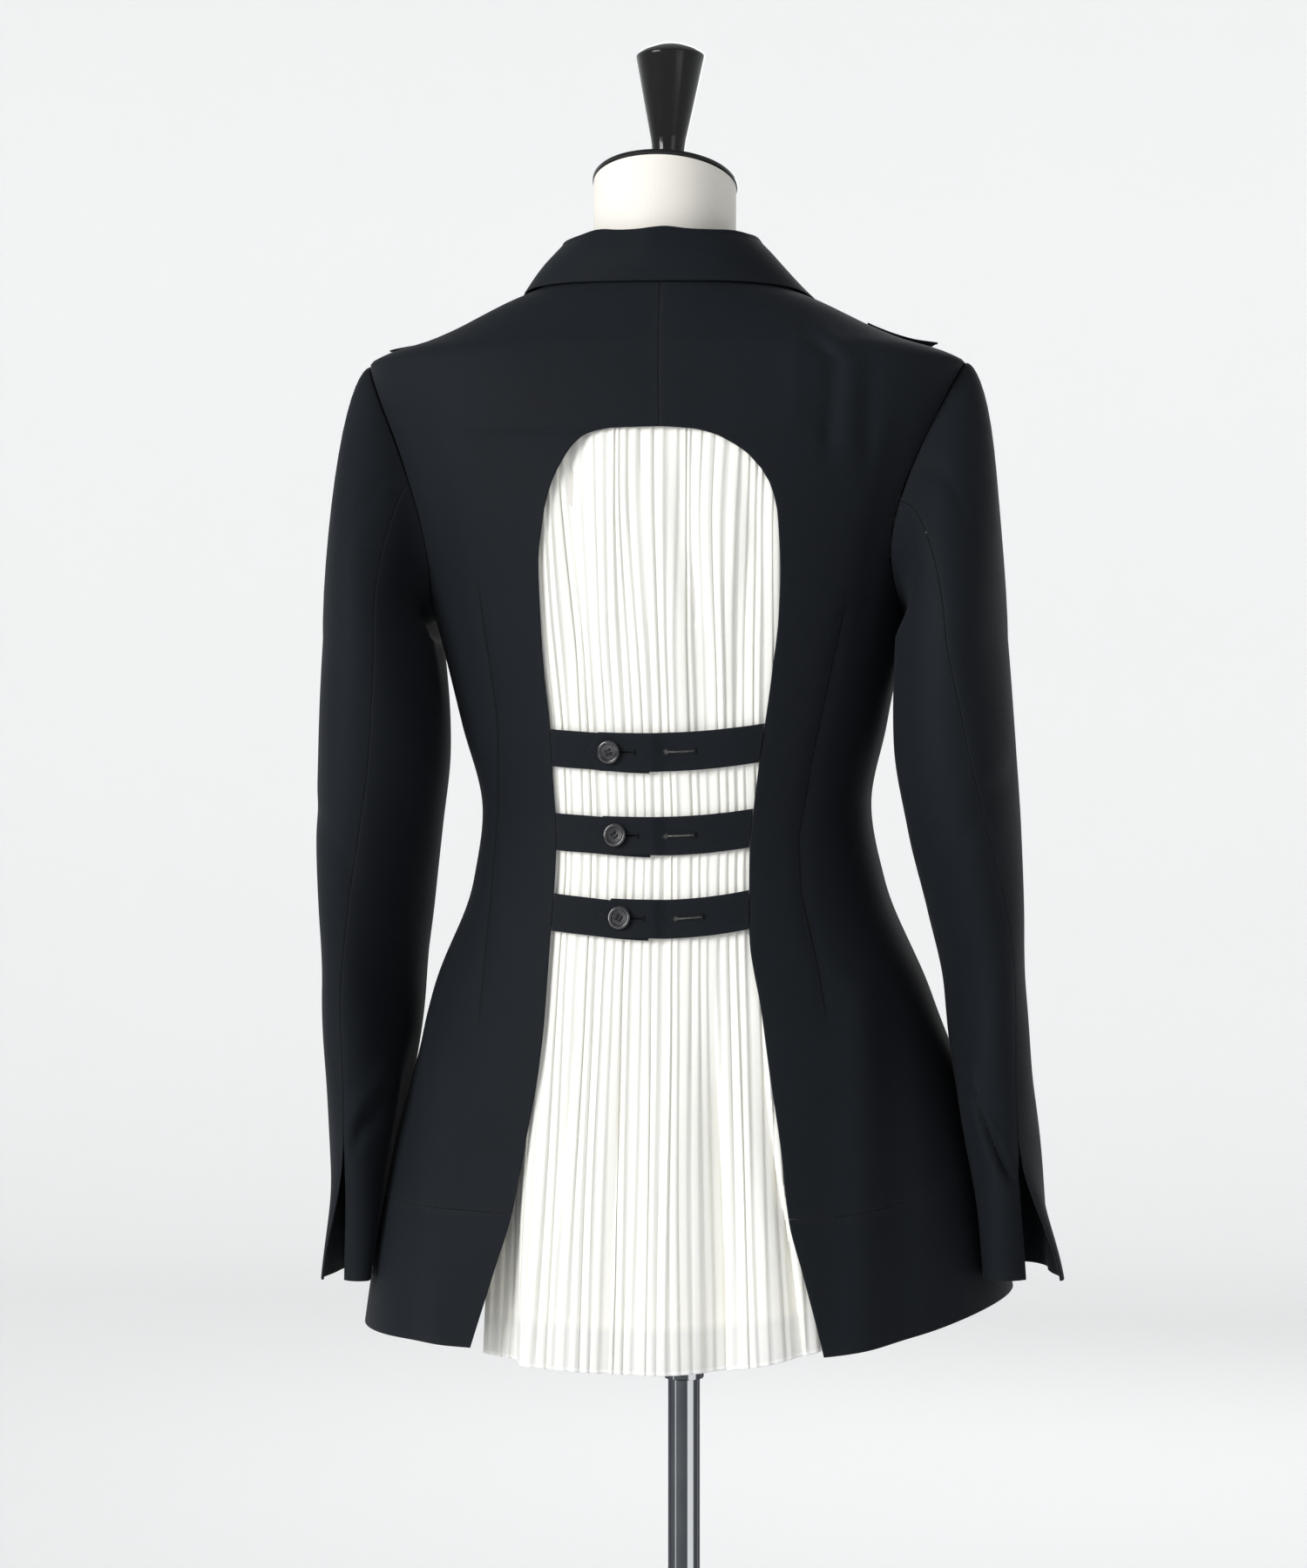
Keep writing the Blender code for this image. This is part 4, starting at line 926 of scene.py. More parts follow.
def body_heights():
    """The rows of the body panels, close together at the armhole and at the top of the arch."""
    skirt = denser([BAND_Z + SEAM_GAP, *SKIRT_ROWS])
    steps = range(ARMHOLE_STEPS + 1)
    armhole = [ARMHOLE_Z - ARMHOLE_HALF_HEIGHT * cos(pi * k / ARMHOLE_STEPS) for k in steps]
    arch = [OPENING_TOP_Z - ARCH_DEPTH * (1 - k / ARCH_STEPS) ** 2 for k in range(ARCH_STEPS + 1)]
    shoulder = denser([SHOULDER_TIP_Z, *SHOULDER_ROWS, NECK_Z], LAPEL_ROW_STEP)
    heights = sorted({round(z, 5) for z in (*skirt, *armhole, *arch, *shoulder)})
    kept = [heights[0]]
    for z in heights[1:]:
        if z - kept[-1] > LEAST_STEP:
            kept.append(z)
        elif z == OPENING_TOP_Z:
            kept[-1] = z
    return kept


def skin_sheet(name, side, node, heights, ends_at, columns, lift=0.0):
    """A piece on the skin, with a row between two turns at each height. The fronts lap."""
    rows = []
    for z in heights:
        row = []
        for turn in spread(*ends_at(z), columns):
            lap = front_lap(z, side, turn) if turn > 0 else 0
            row.append(skin(z, side, turn, lift + lap))
        rows.append(row)
    points = np.array([[tuple(point) for point in row] for row in rows])
    aside, strength = dart_channels(points)
    channels = {"dart": strength, "aside": aside}
    thing = cloth(name, rows, flip=side < 0, relief=body_relief(points), channels=channels)
    sheet(thing, "suiting", [node])


def back_panel(name, side, node):
    def ends_at(z):
        return back_inner_turn(z, side), outer_turn(z, -1)

    skin_sheet(name, side, node, body_heights(), ends_at, BACK_COLUMNS)


def front_panel(name, side, node):
    def ends_at(z):
        return outer_turn(z, 1), front_inner_turn(z)

    heights = [z for z in body_heights() if z <= FRONT_TOP_Z]
    skin_sheet(name, side, node, heights, ends_at, FRONT_COLUMNS)


def hem_band(name, side, node):
    def ends_at(z):
        return back_inner_turn(z, side), front_inner_turn(z)

    skin_sheet(name, side, node, denser([HEM_Z, BAND_Z]), ends_at, BAND_COLUMNS)


def lapel(name, side, node):
    def ends_at(z):
        return turn_at_x(z, lapel_edge_at(z).x, 1), turn_at_x(z, front_edge_at(z).x + SEAM_GAP, 1)

    heights = denser(LAPEL_ROWS, LAPEL_ROW_STEP)
    skin_sheet(name, side, node, heights, ends_at, LAPEL_COLUMNS, LAID_ON)


COLLAR_BUMPS = (-0.034, 0.0103, 0.053)  # places along x where the fold stands up a little
BUMP_HEIGHT = 0.0016
BUMP_WIDTH = 0.010
BUMPS_END = (0.4, 0.5)  # along the collar, where the bumps die away
CORNER_LIFT = {1: 0.0050, -1: 0.0036}  # of the fold where it turns to the front, on the right and left
CORNER_INWARD = {1: 0.0056, -1: 0.0026}
CORNER_AT = 0.43  # along the collar, over the shoulder
CORNER_WIDTH = 0.09
LEAF_FLAT_AT = 0.50
LEAF_FLAT_WIDTH = 0.15
STAND_STEPS = 7
FOLD_STEPS = 8
LEAF_STEPS = 14
LEAF_FLATTER = 0.75  # how much less the leaf bulges over the shoulder


def collar_column(along_it, side):
    """From the neck seam up the stand, round the fold and down the leaf."""
    station = collar_at(along_it)
    if station.seam_z < NECK_Z - 1e-6:
        seam_turn = front_inner_turn(station.seam_z)
    else:
        seam_turn = station.seam_turn
    seam = skin(station.seam_z, side, seam_turn)
    edge = skin(station.leaf_z, side, station.leaf_turn, LAID_ON + LEAF_EASE * eased(0.5, 0.7, along_it))
    fold = Vector((side * station.fold_x, station.fold_y, station.fold_z))
    at_back = 1 - eased(*BUMPS_END, along_it)
    for bump in COLLAR_BUMPS:
        fold.z += BUMP_HEIGHT * bell(fold.x - bump, BUMP_WIDTH) * at_back
    corner = bell(along_it - CORNER_AT, CORNER_WIDTH)
    fold.z += CORNER_LIFT[side] * corner
    fold.x -= side * CORNER_INWARD[side] * corner
    bulge = LEAF_BULGE * (1 - LEAF_FLATTER * bell(along_it - LEAF_FLAT_AT, LEAF_FLAT_WIDTH))
    out = edge - seam
    out.z = 0
    out.normalize()
    seam += Vector((0, 0, SEAM_GAP)) - out * (WALL + 0.0004 * eased(0.45, 0.6, along_it))
    centre = fold - Vector((0, 0, FOLD_RADIUS))
    round_inner, round_outer = centre - out * FOLD_RADIUS, centre + out * FOLD_RADIUS
    column = [seam.lerp(round_inner, k / STAND_STEPS) for k in range(STAND_STEPS)]
    for k in range(FOLD_STEPS + 1):
        angle = pi * k / FOLD_STEPS
        column.append(centre - out * FOLD_RADIUS * cos(angle) + Vector((0, 0, FOLD_RADIUS * sin(angle))))
    for k in range(1, LEAF_STEPS + 1):
        t = k / LEAF_STEPS
        column.append(round_outer.lerp(edge, t) + out * bulge * sin(pi * t))
    past_top = STAND_STEPS + FOLD_STEPS // 2 + 1
    for k in range(past_top, len(column) - 1):
        point = column[k]
        clear = mixed(2 * (LAID_ON + LEAF_EASE), LAID_ON, eased(len(column) - 6, len(column) - 1, k))
        point.z = max(point.z, height_at(point.x, point.y) + clear)
    return column


def collar(name):
    steps = spread(0, 1, COLLAR_COLUMNS)
    columns = [collar_column(step, -1) for step in reversed(steps)]
    columns += [collar_column(step, 1) for step in steps[1:]]
    thing = cloth(name, [list(row) for row in zip(*columns)], flip=True)
    sheet(thing, "suiting", ["collar"])


def shoulder_flap(name, side, node):
    shares = spread(0, 1, FLAP_STEPS)
    rows = []
    for down in shares:
        points = []
        for out in shares:
            x = mixed(FLAP_X[0], FLAP_X[1] - FLAP_SHORTER[side], out) - FLAP_TAPER * down * out
            y = NECK_Y + FLAP_START_Y + FLAP_DROP_Y * down
            z = height_at(x, y)
            turn = turn_at_reach(z, y - body_at(z).middle, 1)
            points.append(skin(z, side, turn, FLAP_LIFT + WALL + FLAP_RISE * out**2 * (1 - down) ** 2))
        rows.append(points)
    thing = cloth(name, rows, flip=side < 0)
    sheet(thing, "suiting", [node])


def sleeve(name, side, node, angles_at, flares):
    rows, relief = [], []
    for t in CAP_STEPS:
        z = mixed(SHOULDER_TIP_Z, SLEEVE_TOP_Z, t)
        angles = angles_at(z)
        rows.append([cap_point(side, angle, t) for angle in angles])
        relief.append([sleeve_relief(side, z, angle) * eased(0, CAP_RELIEF_SHARE, t) for angle in angles])
    for z in reversed(denser([CUFF_Z, VENT_Z, SLEEVE_TOP_Z], SLEEVE_ROW_STEP)):
        angles = angles_at(z)
        open_share = 1 - eased(CUFF_Z - FLARE_DROP, VENT_Z, z) if flares else 0
        row = []
        for angle in angles:
            near_edge = eased(angles[-1] - FLARE_REACH, angles[-1], angle) ** FLARE_POWER
            row.append(sleeve_ring_point(side, z, angle, VENT_FLARE[side] * open_share * near_edge))
        rows.append(row)
        relief.append([sleeve_relief(side, z, angle) for angle in angles])
    thing = cloth(name, rows, flip=side < 0, relief=np.array(relief))
    sheet(thing, "suiting", [node])


def top_sleeve(name, side, node):
    def angles_at(z):
        start, end = FRONT_SEAM - 360 + FRONT_SEAM_GAP, back_seam_angle(z, side) - BACK_SEAM_GAP
        return spread(start, end, TOP_SLEEVE_COLUMNS)

    sleeve(name, side, node, angles_at, flares=True)


def under_sleeve(name, side, node):
    def angles_at(z):
        back = VENT_SPREAD * (1 - eased(CUFF_Z, VENT_Z, z))
        start, end = back_seam_angle(z, side) + BACK_SEAM_GAP + back, FRONT_SEAM - FRONT_SEAM_GAP
        return spread(start, end, UNDER_SLEEVE_COLUMNS)

    sleeve(name, side, node, angles_at, flares=False)


# What shows through the opening


def wave_depth(x, z):
    """The panel's broad waves, which grow toward its hem."""
    strength = np.maximum((WAVES_FROM_Z - z) / (WAVES_FROM_Z - PLEAT_HEM_Z), 0)
    xs, depths = zip(*WAVES)
    soft = sum(np.interp(x + shift, xs, depths) for shift in WAVE_SHIFTS) / len(WAVE_SHIFTS)
    return strength * soft


PANEL_FOLDS = (
    Fold(((1.060, -0.0490), (1.113, -0.0500), (1.164, -0.0530), (1.212, -0.0437)), 0.0090, 0.0035),
    Fold(
        ((1.000, 0.0330), (1.027, 0.0330), (1.082, 0.0345), (1.142, 0.0267), (1.199, 0.0255)),
        0.0085,
        0.0036,
    ),
    Fold(((1.029, 0.0566), (1.098, 0.0625), (1.151, 0.0710), (1.195, 0.0680)), 0.0085, 0.0034),
    Fold(((1.060, -0.0180), (1.130, -0.0120), (1.190, -0.0050)), 0.0080, 0.0014),
)
PLEAT_FAN = 0.7  # how much wider the pleats stand for each metre above the straps
FAN_FROM_Z = 1.03
BUNCH_LENGTH = 0.045  # from one bunch of close pleats to the next, above the straps
BUNCH_X = -0.0167
BUNCH = 0.0029
BUNCH_Z = (1.06, 1.19)  # between these heights the bunches set in
PLEAT_ROW_STEP = 0.008
HEM_FOLD_ROWS = (0.0012, 0.0024, 0.0036)  # rows above the hem that show its stitched edge
FACE_POWER = 1.2  # how hollow a pleat's face is
SHEER_SHADE_SOFT = 0.001


def pleat_wander(number, z):
    """How far a pleat strays from its even place, in pitches."""
    return 0.10 * sin(2.1 * number + 9 * z) + 0.06 * sin(0.7 * number - 21 * z)


def pleat_depth(number, phase, z):
    """How far the cloth lies behind the crest at this phase of a pleat, deeper in some than in others."""
    fullness = 0.74 + 0.26 * sin(1.7 * number + 0.8 * sin(0.9 * number) + 3 * z)
    crest = PLEAT_CREST + 0.10 * sin(2.7 * number + 4 * z)
    face = phase / crest if phase < crest else (1 - phase) / (1 - crest)
    return 0.6 * PLEAT_DEPTH * fullness * (1 - face) ** FACE_POWER


SKIRT_FOLDS = (
    Fold(((0.600, 0.0515), (0.690, 0.0499), (0.749, 0.0465), (0.833, 0.0414)), 0.0200, 0.0068),
    Fold(((0.600, 0.1030), (0.690, 0.0924), (0.749, 0.0812), (0.833, 0.0712)), 0.0170, 0.0056),
    Fold(((0.600, -0.0660), (0.690, -0.0620), (0.833, -0.0507)), 0.0140, 0.0034),
    Fold(((0.600, -0.0255), (0.833, -0.0194)), 0.0120, 0.0026),
)
SKIRT_FOLD_EDGE = 0.0022  # how abruptly each of them ends on its right
SKIRT_FOLD_POWER = 1.5
SKIRT_FOLD_Z = (0.76, 0.87)  # between these heights they die away


def skirt_folds(x, z):
    """Valleys below the waist, each deeper toward its right and then back to the surface at once."""
    depth = 0.0
    for fold in SKIRT_FOLDS:
        place = float(np.interp(z, *zip(*fold.line)))
        inward = min(max((x - place) / fold.width + 1, 0), 1) ** SKIRT_FOLD_POWER
        depth += fold.height * inward * (1 - eased(place, place + SKIRT_FOLD_EDGE, x))
    return depth * (1 - eased(*SKIRT_FOLD_Z, z))


def gathers(x, z):
    """Soft valleys in the panel above the waist."""
    depth = 0.0005 + 0.0005 * sin(78 * x + 5 * z) * eased(0.96, 1.06, z)
    for fold in PANEL_FOLDS:
        place, strength = along(fold.line, z, PANEL_FOLD_FADE)
        depth += fold.height * bell(x - place, fold.width) * strength
    return depth


def pleated_panel(name):
    """Knife pleats: a long face and a short one, so each crest leans to the right."""
    heights, widths = zip(*PANEL_WIDTH)
    count = PLEAT_STEPS * PLEATS
    rows, sheer_shade = [], []
    levels = denser(PLEAT_ROWS, PLEAT_ROW_STEP)
    levels[1:1] = [PLEAT_HEM_Z + above for above in HEM_FOLD_ROWS]
    for z in levels:
        half = float(np.interp(z, heights, widths)) / 2
        row = []
        for k in range(count + 1):
            number, phase = divmod(k / PLEAT_STEPS, 1)
            share = (k / PLEAT_STEPS + pleat_wander(number, z)) / PLEATS
            x = mixed(-half, half, share) * (1 + PLEAT_FAN * max(z - FAN_FROM_Z, 0))
            x -= BUNCH * sin(2 * pi * (x - BUNCH_X) / BUNCH_LENGTH) * eased(*BUNCH_Z, z)
            depth = WALL + PLEAT_SETBACK + pleat_depth(number, phase, z) + wave_depth(x, z)
            depth += gathers(x, z) + skirt_folds(x, z)
            point = back_at_x(z, x, -depth)
            point.z += pleat_hem_rise(x) * (1 - eased(PLEAT_HEM_Z, PLEAT_HEM_FADE_Z, z))
            row.append(point)
        rows.append(row)
        # where the painted shade goes: below the underlay's end, the sheer cloth with no lining behind it
        sheer_shade_share = 1 - eased(UNDERLAY[0].z - SHEER_SHADE_SOFT, UNDERLAY[0].z + SHEER_SHADE_SOFT, z)
        sheer_shade.append([sheer_shade_share] * len(row))
    channels = {"sheer_shade": sheer_shade, "hem": [[z - PLEAT_HEM_Z] * len(rows[0]) for z in levels]}
    thing = cloth(name, rows, material="pleated_cloth", wall=PLEAT_WALL, channels=channels, soft_edges=False)
    sheet(thing, "pleated_cloth", ["pleated_panel"])


def underlay(name):
    rows = []
    for z in denser(UNDERLAY_ROWS, UNDERLAY_ROW_STEP):
        row = underlay_at(z)
        xs = [share * row.half_width for share in spread(-1, 1, UNDERLAY_COLUMNS)]
        lift = -row.depth - UNDERLAY_WALL
        rows.append([back_at_x(z, x, lift - UNDERLAY_WAVE * wave_depth(x, z)) for x in xs])
    thing = cloth(name, rows, material="underlay_cloth", wall=UNDERLAY_WALL, soft_edges=False)
    sheet(thing, "underlay_cloth", ["underlay"])


# Straps and buttons

STRAP_TUCK = 0.0002
Hole = namedtuple("Hole", "eye_x end_x")
STRAP_HOLES = (
    (Hole(0.0092, 0.0278), Hole(-0.0305, -0.0119)),
    (Hole(0.0078, 0.0264), Hole(-0.0297, -0.0111)),
    (Hole(0.0150, 0.0322), Hole(-0.0246, -0.0060)),
)
EYE_RADIUS = 0.0016
EYE_STEPS = 18
SLIT_HALF = 0.00055
SLIT_STEPS = 14
CUTTER_LIFTS = (0.003, -0.004)  # of its two ends, so it passes through the whole strap
THREAD = 0.00013
STITCH_EDGES = (0.0001, 0.0009)  # how far outside the hole the loops of thread begin and end
STITCH_BAR_STEPS = 14
STITCH_BAR_HALF = 0.0018
STRAP_ROWS = 12
UNDER_STRAP_INSET = 0.0004  # how much narrower it is along each edge
BLUNT_TIP = 0.0002
UNDER_STRAP_STEPS = 40
OVER_STRAP_STEPS = 60
POINT_STEPS = 10


def strap_place(strap, x, across, lift):
    """A point of the over strap, across from its middle line."""
    return back_at_x(strap_middle(strap, x) + across, x, STRAP_STAND + over_strap_lift(x) + lift)


def hole_outline(hole, ease=0.0):
    """A keyhole: round at the eye, then a slit to its end. Each point is (x, across)."""
    points = []
    radius, half = EYE_RADIUS + ease, SLIT_HALF + ease
    start = asin(min(half / radius, 1))
    for k in range(EYE_STEPS + 1):
        angle = start + (2 * pi - 2 * start) * k / EYE_STEPS
        points.append((hole.eye_x + radius * cos(angle), radius * sin(angle)))
    shares = spread(0, 1, SLIT_STEPS)
    points += [(mixed(points[-1][0], hole.end_x + ease, share), -half) for share in shares[1:]]
    points += [(mixed(hole.end_x + ease, points[0][0], share), half) for share in shares[:-1]]
    return points


def hole_cutter(strap, hole):
    outline = hole_outline(hole)
    rings = [[worn(strap_place(strap, x, across, lift)) for x, across in outline] for lift in CUTTER_LIFTS]
    mesh = bpy.data.meshes.new("cutter")
    mesh.from_pydata([tuple(point) for ring in rings for point in ring], [], capped_faces(2, len(outline)))
    shape = bmesh.new()
    shape.from_mesh(mesh)
    bmesh.ops.recalc_face_normals(shape, faces=shape.faces)
    shape.to_mesh(mesh)
    shape.free()
    return linked("cutter", mesh)


def cut(thing, cutters):
    """Takes the cutters out of a thing and removes them."""
    for cutter in cutters:
        bite = thing.modifiers.new("Hole", "BOOLEAN")
        bite.object = cutter
    depsgraph = bpy.context.evaluated_depsgraph_get()
    mesh = bpy.data.meshes.new_from_object(thing.evaluated_get(depsgraph))
    thing.modifiers.clear()
    thing.data = mesh
    for cutter in cutters:
        bpy.data.objects.remove(cutter, do_unlink=True)


def thread_curve(name, points, radius):
    curve = bpy.data.curves.new(name, "CURVE")
    curve.dimensions = "3D"
    spline = curve.splines.new("POLY")
    spline.points.add(len(points) - 1)
    for place, point in zip(spline.points, points):
        place.co = (*point, 1)
    curve.bevel_depth = radius
    curve.bevel_resolution = 1
    curve.use_fill_caps = True
    curve.materials.append(materials["thread"])
    belongs(linked(name, curve), "suiting")


def hole_stitches(name, strap, hole):
    """Close loops of thread round the hole and a bar across its end."""
    inner, outer = (hole_outline(hole, ease) for ease in STITCH_EDGES)
    points = []
    for (x0, a0), (x1, a1), (x2, a2) in zip(inner, outer, inner[1:] + inner[:1]):
        for s in (0.0, 0.5):
            near = (mixed(x0, x2, s), mixed(a0, a2, s))
            far = (x1 + (x2 - x0) * s, a1 + (a2 - a0) * s)
            past = (x1 + (x2 - x0) * (s + 0.2), a1 + (a2 - a0) * (s + 0.2))
            loop = ((near, -0.0002), (near, 0.0002), (far, 0.0003), (past, 0.0))
            points += [worn(strap_place(strap, *place, lift)) for place, lift in loop]
    thread_curve(name, points, THREAD)
    bar = []
    for k in range(STITCH_BAR_STEPS):
        across = STITCH_BAR_HALF if k % 2 else -STITCH_BAR_HALF
        bar.append(worn(strap_place(strap, hole.end_x + 0.0006 + 0.00009 * k, across, 0.0003)))
    thread_curve(f"{name}_bar", bar, THREAD)


def strap_sheet(name, node, places, side, lift_at, drop_at):
    """A strap from the opening's edge on its side to its free end."""
    edge_x = max(abs(place[0]) for place in places)
    rows = []
    for share in spread(-1, 1, STRAP_ROWS):
        row = []
        for x, half, z in places:
            height = z + share * half - drop_at(x)
            stretch = (opening_edge(height, side) - STRAP_TUCK) / edge_x if x * side > 0 else 1
            row.append(back_at_x(height, x * stretch, STRAP_STAND + lift_at(x)))
        rows.append(row)
    thing = cloth(name, rows)
    sheet(thing, "suiting", [node])
    return thing


def under_strap(name, node, strap):
    start = -opening_edge(strap.left_z + STRAP_HALF, -1)
    xs = spread(start, UNDER_STRAP_END_X, UNDER_STRAP_STEPS)
    places = [(x, STRAP_HALF - UNDER_STRAP_INSET, strap_middle(strap, x)) for x in xs]
    drop_at = lambda x: UNDER_STRAP_DROP * eased(-0.05, 0, x)
    strap_sheet(name, node, places, -1, lambda x: 0.0, drop_at)


def over_strap(name, node, strap, holes):
    end = opening_edge(strap.right_z + STRAP_HALF, 1)
    shoulder = strap.tip_x + STRAP_POINT
    xs = spread(strap.tip_x + BLUNT_TIP, shoulder, POINT_STEPS)[:-1]
    xs += spread(shoulder, end, OVER_STRAP_STEPS)
    places = []
    for x in xs:
        half = STRAP_HALF * min((x - strap.tip_x) / STRAP_POINT, 1)
        places.append((x, half, strap_middle(strap, x)))
    thing = strap_sheet(name, node, places, 1, over_strap_lift, lambda x: 0.0)
    cut(thing, [hole_cutter(strap, hole) for hole in holes])


BUTTON_RIM = 0.0009
BUTTON_THREAD = 0.00028
STRAND_ASIDE = 0.00022
FRONT_HOLE_X = (0.0105, -0.0125)
FRONT_HOLE_HALF = 0.0011
FRONT_HOLE_STITCHES = 45
NEAR_AXIS = 0.00001  # a turned piece ends this close to its axis


def button_mesh(name, radius, holes_at, hole_radius):
    """A turned disc with a raised rim and four holes."""
    rim = BUTTON_RIM
    profile = [(NEAR_AXIS, BUTTON_HEIGHT - 1.5 * rim)]
    profile += [(radius * t, BUTTON_HEIGHT - rim * (1.5 - 0.5 * t)) for t in (0.3, 0.55, 0.66)]
    profile += [(radius * 0.72, BUTTON_HEIGHT - 0.4 * rim), (radius * 0.78, BUTTON_HEIGHT)]
    profile += [(radius * 0.86, BUTTON_HEIGHT + 0.0001), (radius * 0.94, BUTTON_HEIGHT - 0.0001)]
    profile += [(radius * 0.985, BUTTON_HEIGHT - 0.5 * rim), (radius, BUTTON_HEIGHT - rim)]
    profile += [(radius * 0.97, BUTTON_HEIGHT - 1.6 * rim), (radius * 0.72, 0.0), (NEAR_AXIS, 0.0)]
    thing = lathe(name, profile, "horn", 64)
    cutters = []
    for k in range(4):
        angle = pi / 4 + k * pi / 2
        mesh = bpy.data.meshes.new("cutter")
        shape = bmesh.new()
        size = {"radius1": hole_radius, "radius2": hole_radius, "depth": 4 * BUTTON_HEIGHT}
        bmesh.ops.create_cone(shape, cap_ends=True, segments=20, **size)
        shape.to_mesh(mesh)
        shape.free()
        cutters.append(linked("cutter", mesh))
        cutters[-1].location = (holes_at * cos(angle), holes_at * sin(angle), 0)
    bpy.context.view_layer.update()
    cut(thing, cutters)
    thing.data.shade_smooth()
    thing.data.set_sharp_from_angle(angle=radians(35))
    return thing


def placed_button(name, node, radius, foot, outward, twist):
    holes_at, hole_radius = radius * 0.24, radius * 0.105
    thing = button_mesh(name, radius, holes_at, hole_radius)
    turn = outward.to_track_quat("Z", "Y").to_matrix().to_4x4() @ Matrix.Rotation(twist, 4, "Z")
    matrix = Matrix.Translation(worn(foot)) @ turn
    thing.data.transform(matrix)
    belongs(thing, "horn", node)
    top = BUTTON_HEIGHT - 1.1 * BUTTON_RIM
    half = holes_at * cos(pi / 4)
    for k, y in enumerate((-half, half)):
        for strand in (-STRAND_ASIDE, STRAND_ASIDE):
            bar = [
                (-half, y + strand, 0.0002),
                (-half, y + strand, top),
                (-half * 0.6, y + strand, top + 0.0004),
                (half * 0.6, y + strand, top + 0.0004),
                (half, y + strand, top),
                (half, y + strand, 0.0002),
            ]
            points = [matrix @ Vector(point) for point in bar]
            thread_curve(f"{name}_thread_{k}_{int(strand > 0)}", points, BUTTON_THREAD)


def strap_button(name, node, strap, twist):
    z = strap_middle(strap, strap.button_x)
    lift = STRAP_STAND + over_strap_lift(strap.button_x) + BUTTON_GAP
    foot = back_at_x(z, strap.button_x, lift)
    outward = (back_at_x(z, strap.button_x, 0.01) - back_at_x(z, strap.button_x, 0)).normalized()
    placed_button(name, node, BUTTON_RADIUS, foot, outward, twist)


def front_button(name, node):
    turn = turn_at_x(FRONT_BUTTON_Z, 0.0004, 1)
    foot = skin(FRONT_BUTTON_Z, 1, turn, front_lap(FRONT_BUTTON_Z, 1, turn) + BUTTON_GAP + 0.0004)
    outward = (skin(FRONT_BUTTON_Z, 1, turn, 0.01) - skin(FRONT_BUTTON_Z, 1, turn)).normalized()
    placed_button(name, node, FRONT_BUTTON_RADIUS, foot, outward, 0.3)
    points = []
    for k in range(2 * FRONT_HOLE_STITCHES):
        x = mixed(*FRONT_HOLE_X, (k // 2) / (FRONT_HOLE_STITCHES - 1))
        place = turn_at_x(FRONT_BUTTON_Z, x, 1)
        z = FRONT_BUTTON_Z + (FRONT_HOLE_HALF if k % 2 else -FRONT_HOLE_HALF)
        points.append(worn(skin(z, 1, place, front_lap(z, 1, place) + 0.0004)))
    thread_curve(f"{name}hole", points, THREAD)


# The dress form

FORM_GAP = 0.0004  # between the lid and the neck, and at both ends of the pole
RINGS_BETWEEN = 5
KNOB_COLUMNS = 72


def torso(name):
    rings = [form_ring(row) for row in TORSO]
    rings += [neck_ring(z, NECK_SLOPE * k / 3) for k, z in enumerate(NECK_RINGS, 1)]
    rings.append(neck_ring(NECK_TOP_Z, NECK_SLOPE))
    fine = [worn_all(ring) for ring in eased_rings(rings, RINGS_BETWEEN)]
    thing = lofted(name, fine, "form_cloth")
    belongs(thing, "form_cloth", "torso")


def neck_cap(name):
    """A thin lid with a rounded edge, square to the slanted top of the neck."""
    over = Vector((NECK_HALF_WIDTH + CAP_OVER, NECK_HALF_DEPTH / cos(NECK_SLOPE) + CAP_OVER, 1))
    rim = 0.0011
    profile = [(0.02, CAP_HEIGHT), (0.90, CAP_HEIGHT), (0.975, CAP_HEIGHT)]
    profile += [(1 - 0.025 * (1 - sin(a)), CAP_HEIGHT - rim * (1 - cos(a))) for a in (0.4, 0.8, 1.2, pi / 2)]
    profile += [(1, rim), (0.99, 0.0003), (0.975, 0.0), (0.02, 0.0)]
    thing = lathe(name, profile, "black_lacquer", 128)
    turn = Matrix.Rotation(-NECK_SLOPE, 4, "X") @ Matrix.Diagonal((over.x, over.y, 1, 1))
    place = Vector((-LEAN, NECK_Y + FORM_GAP * sin(NECK_SLOPE), NECK_TOP_Z + FORM_GAP * cos(NECK_SLOPE)))
    thing.data.transform(Matrix.Translation(place) @ turn)
    belongs(thing, "black_lacquer", "neck_cap")


def knob(name):
    """An upright knob whose foot is cut to the slant of the lid, with a domed top."""
    foot_z = NECK_TOP_Z + (CAP_HEIGHT + 2 * FORM_GAP) / cos(NECK_SLOPE)
    rings = []
    for row in KNOB:
        slant = tan(NECK_SLOPE) * (1 - eased(KNOB[0].z, KNOB_LEVEL_Z, row.z))
        z = foot_z if row is KNOB[0] else row.z
        aside = mixed(*KNOB_ASIDE, (row.z - KNOB[0].z) / (KNOB_TOP_Z - KNOB[0].z))
        ring = []
        for k in range(KNOB_COLUMNS):
            angle = 2 * pi * k / KNOB_COLUMNS
            y = row.radius * sin(angle)
            ring.append((aside + row.radius * cos(angle), NECK_Y + y, z - y * slant))
        rings.append(ring)
    fine = [worn_all(ring) for ring in eased_rings(rings, RINGS_BETWEEN)]
    thing = lofted(name, fine, "black_lacquer")
    belongs(thing, "black_lacquer", "knob")


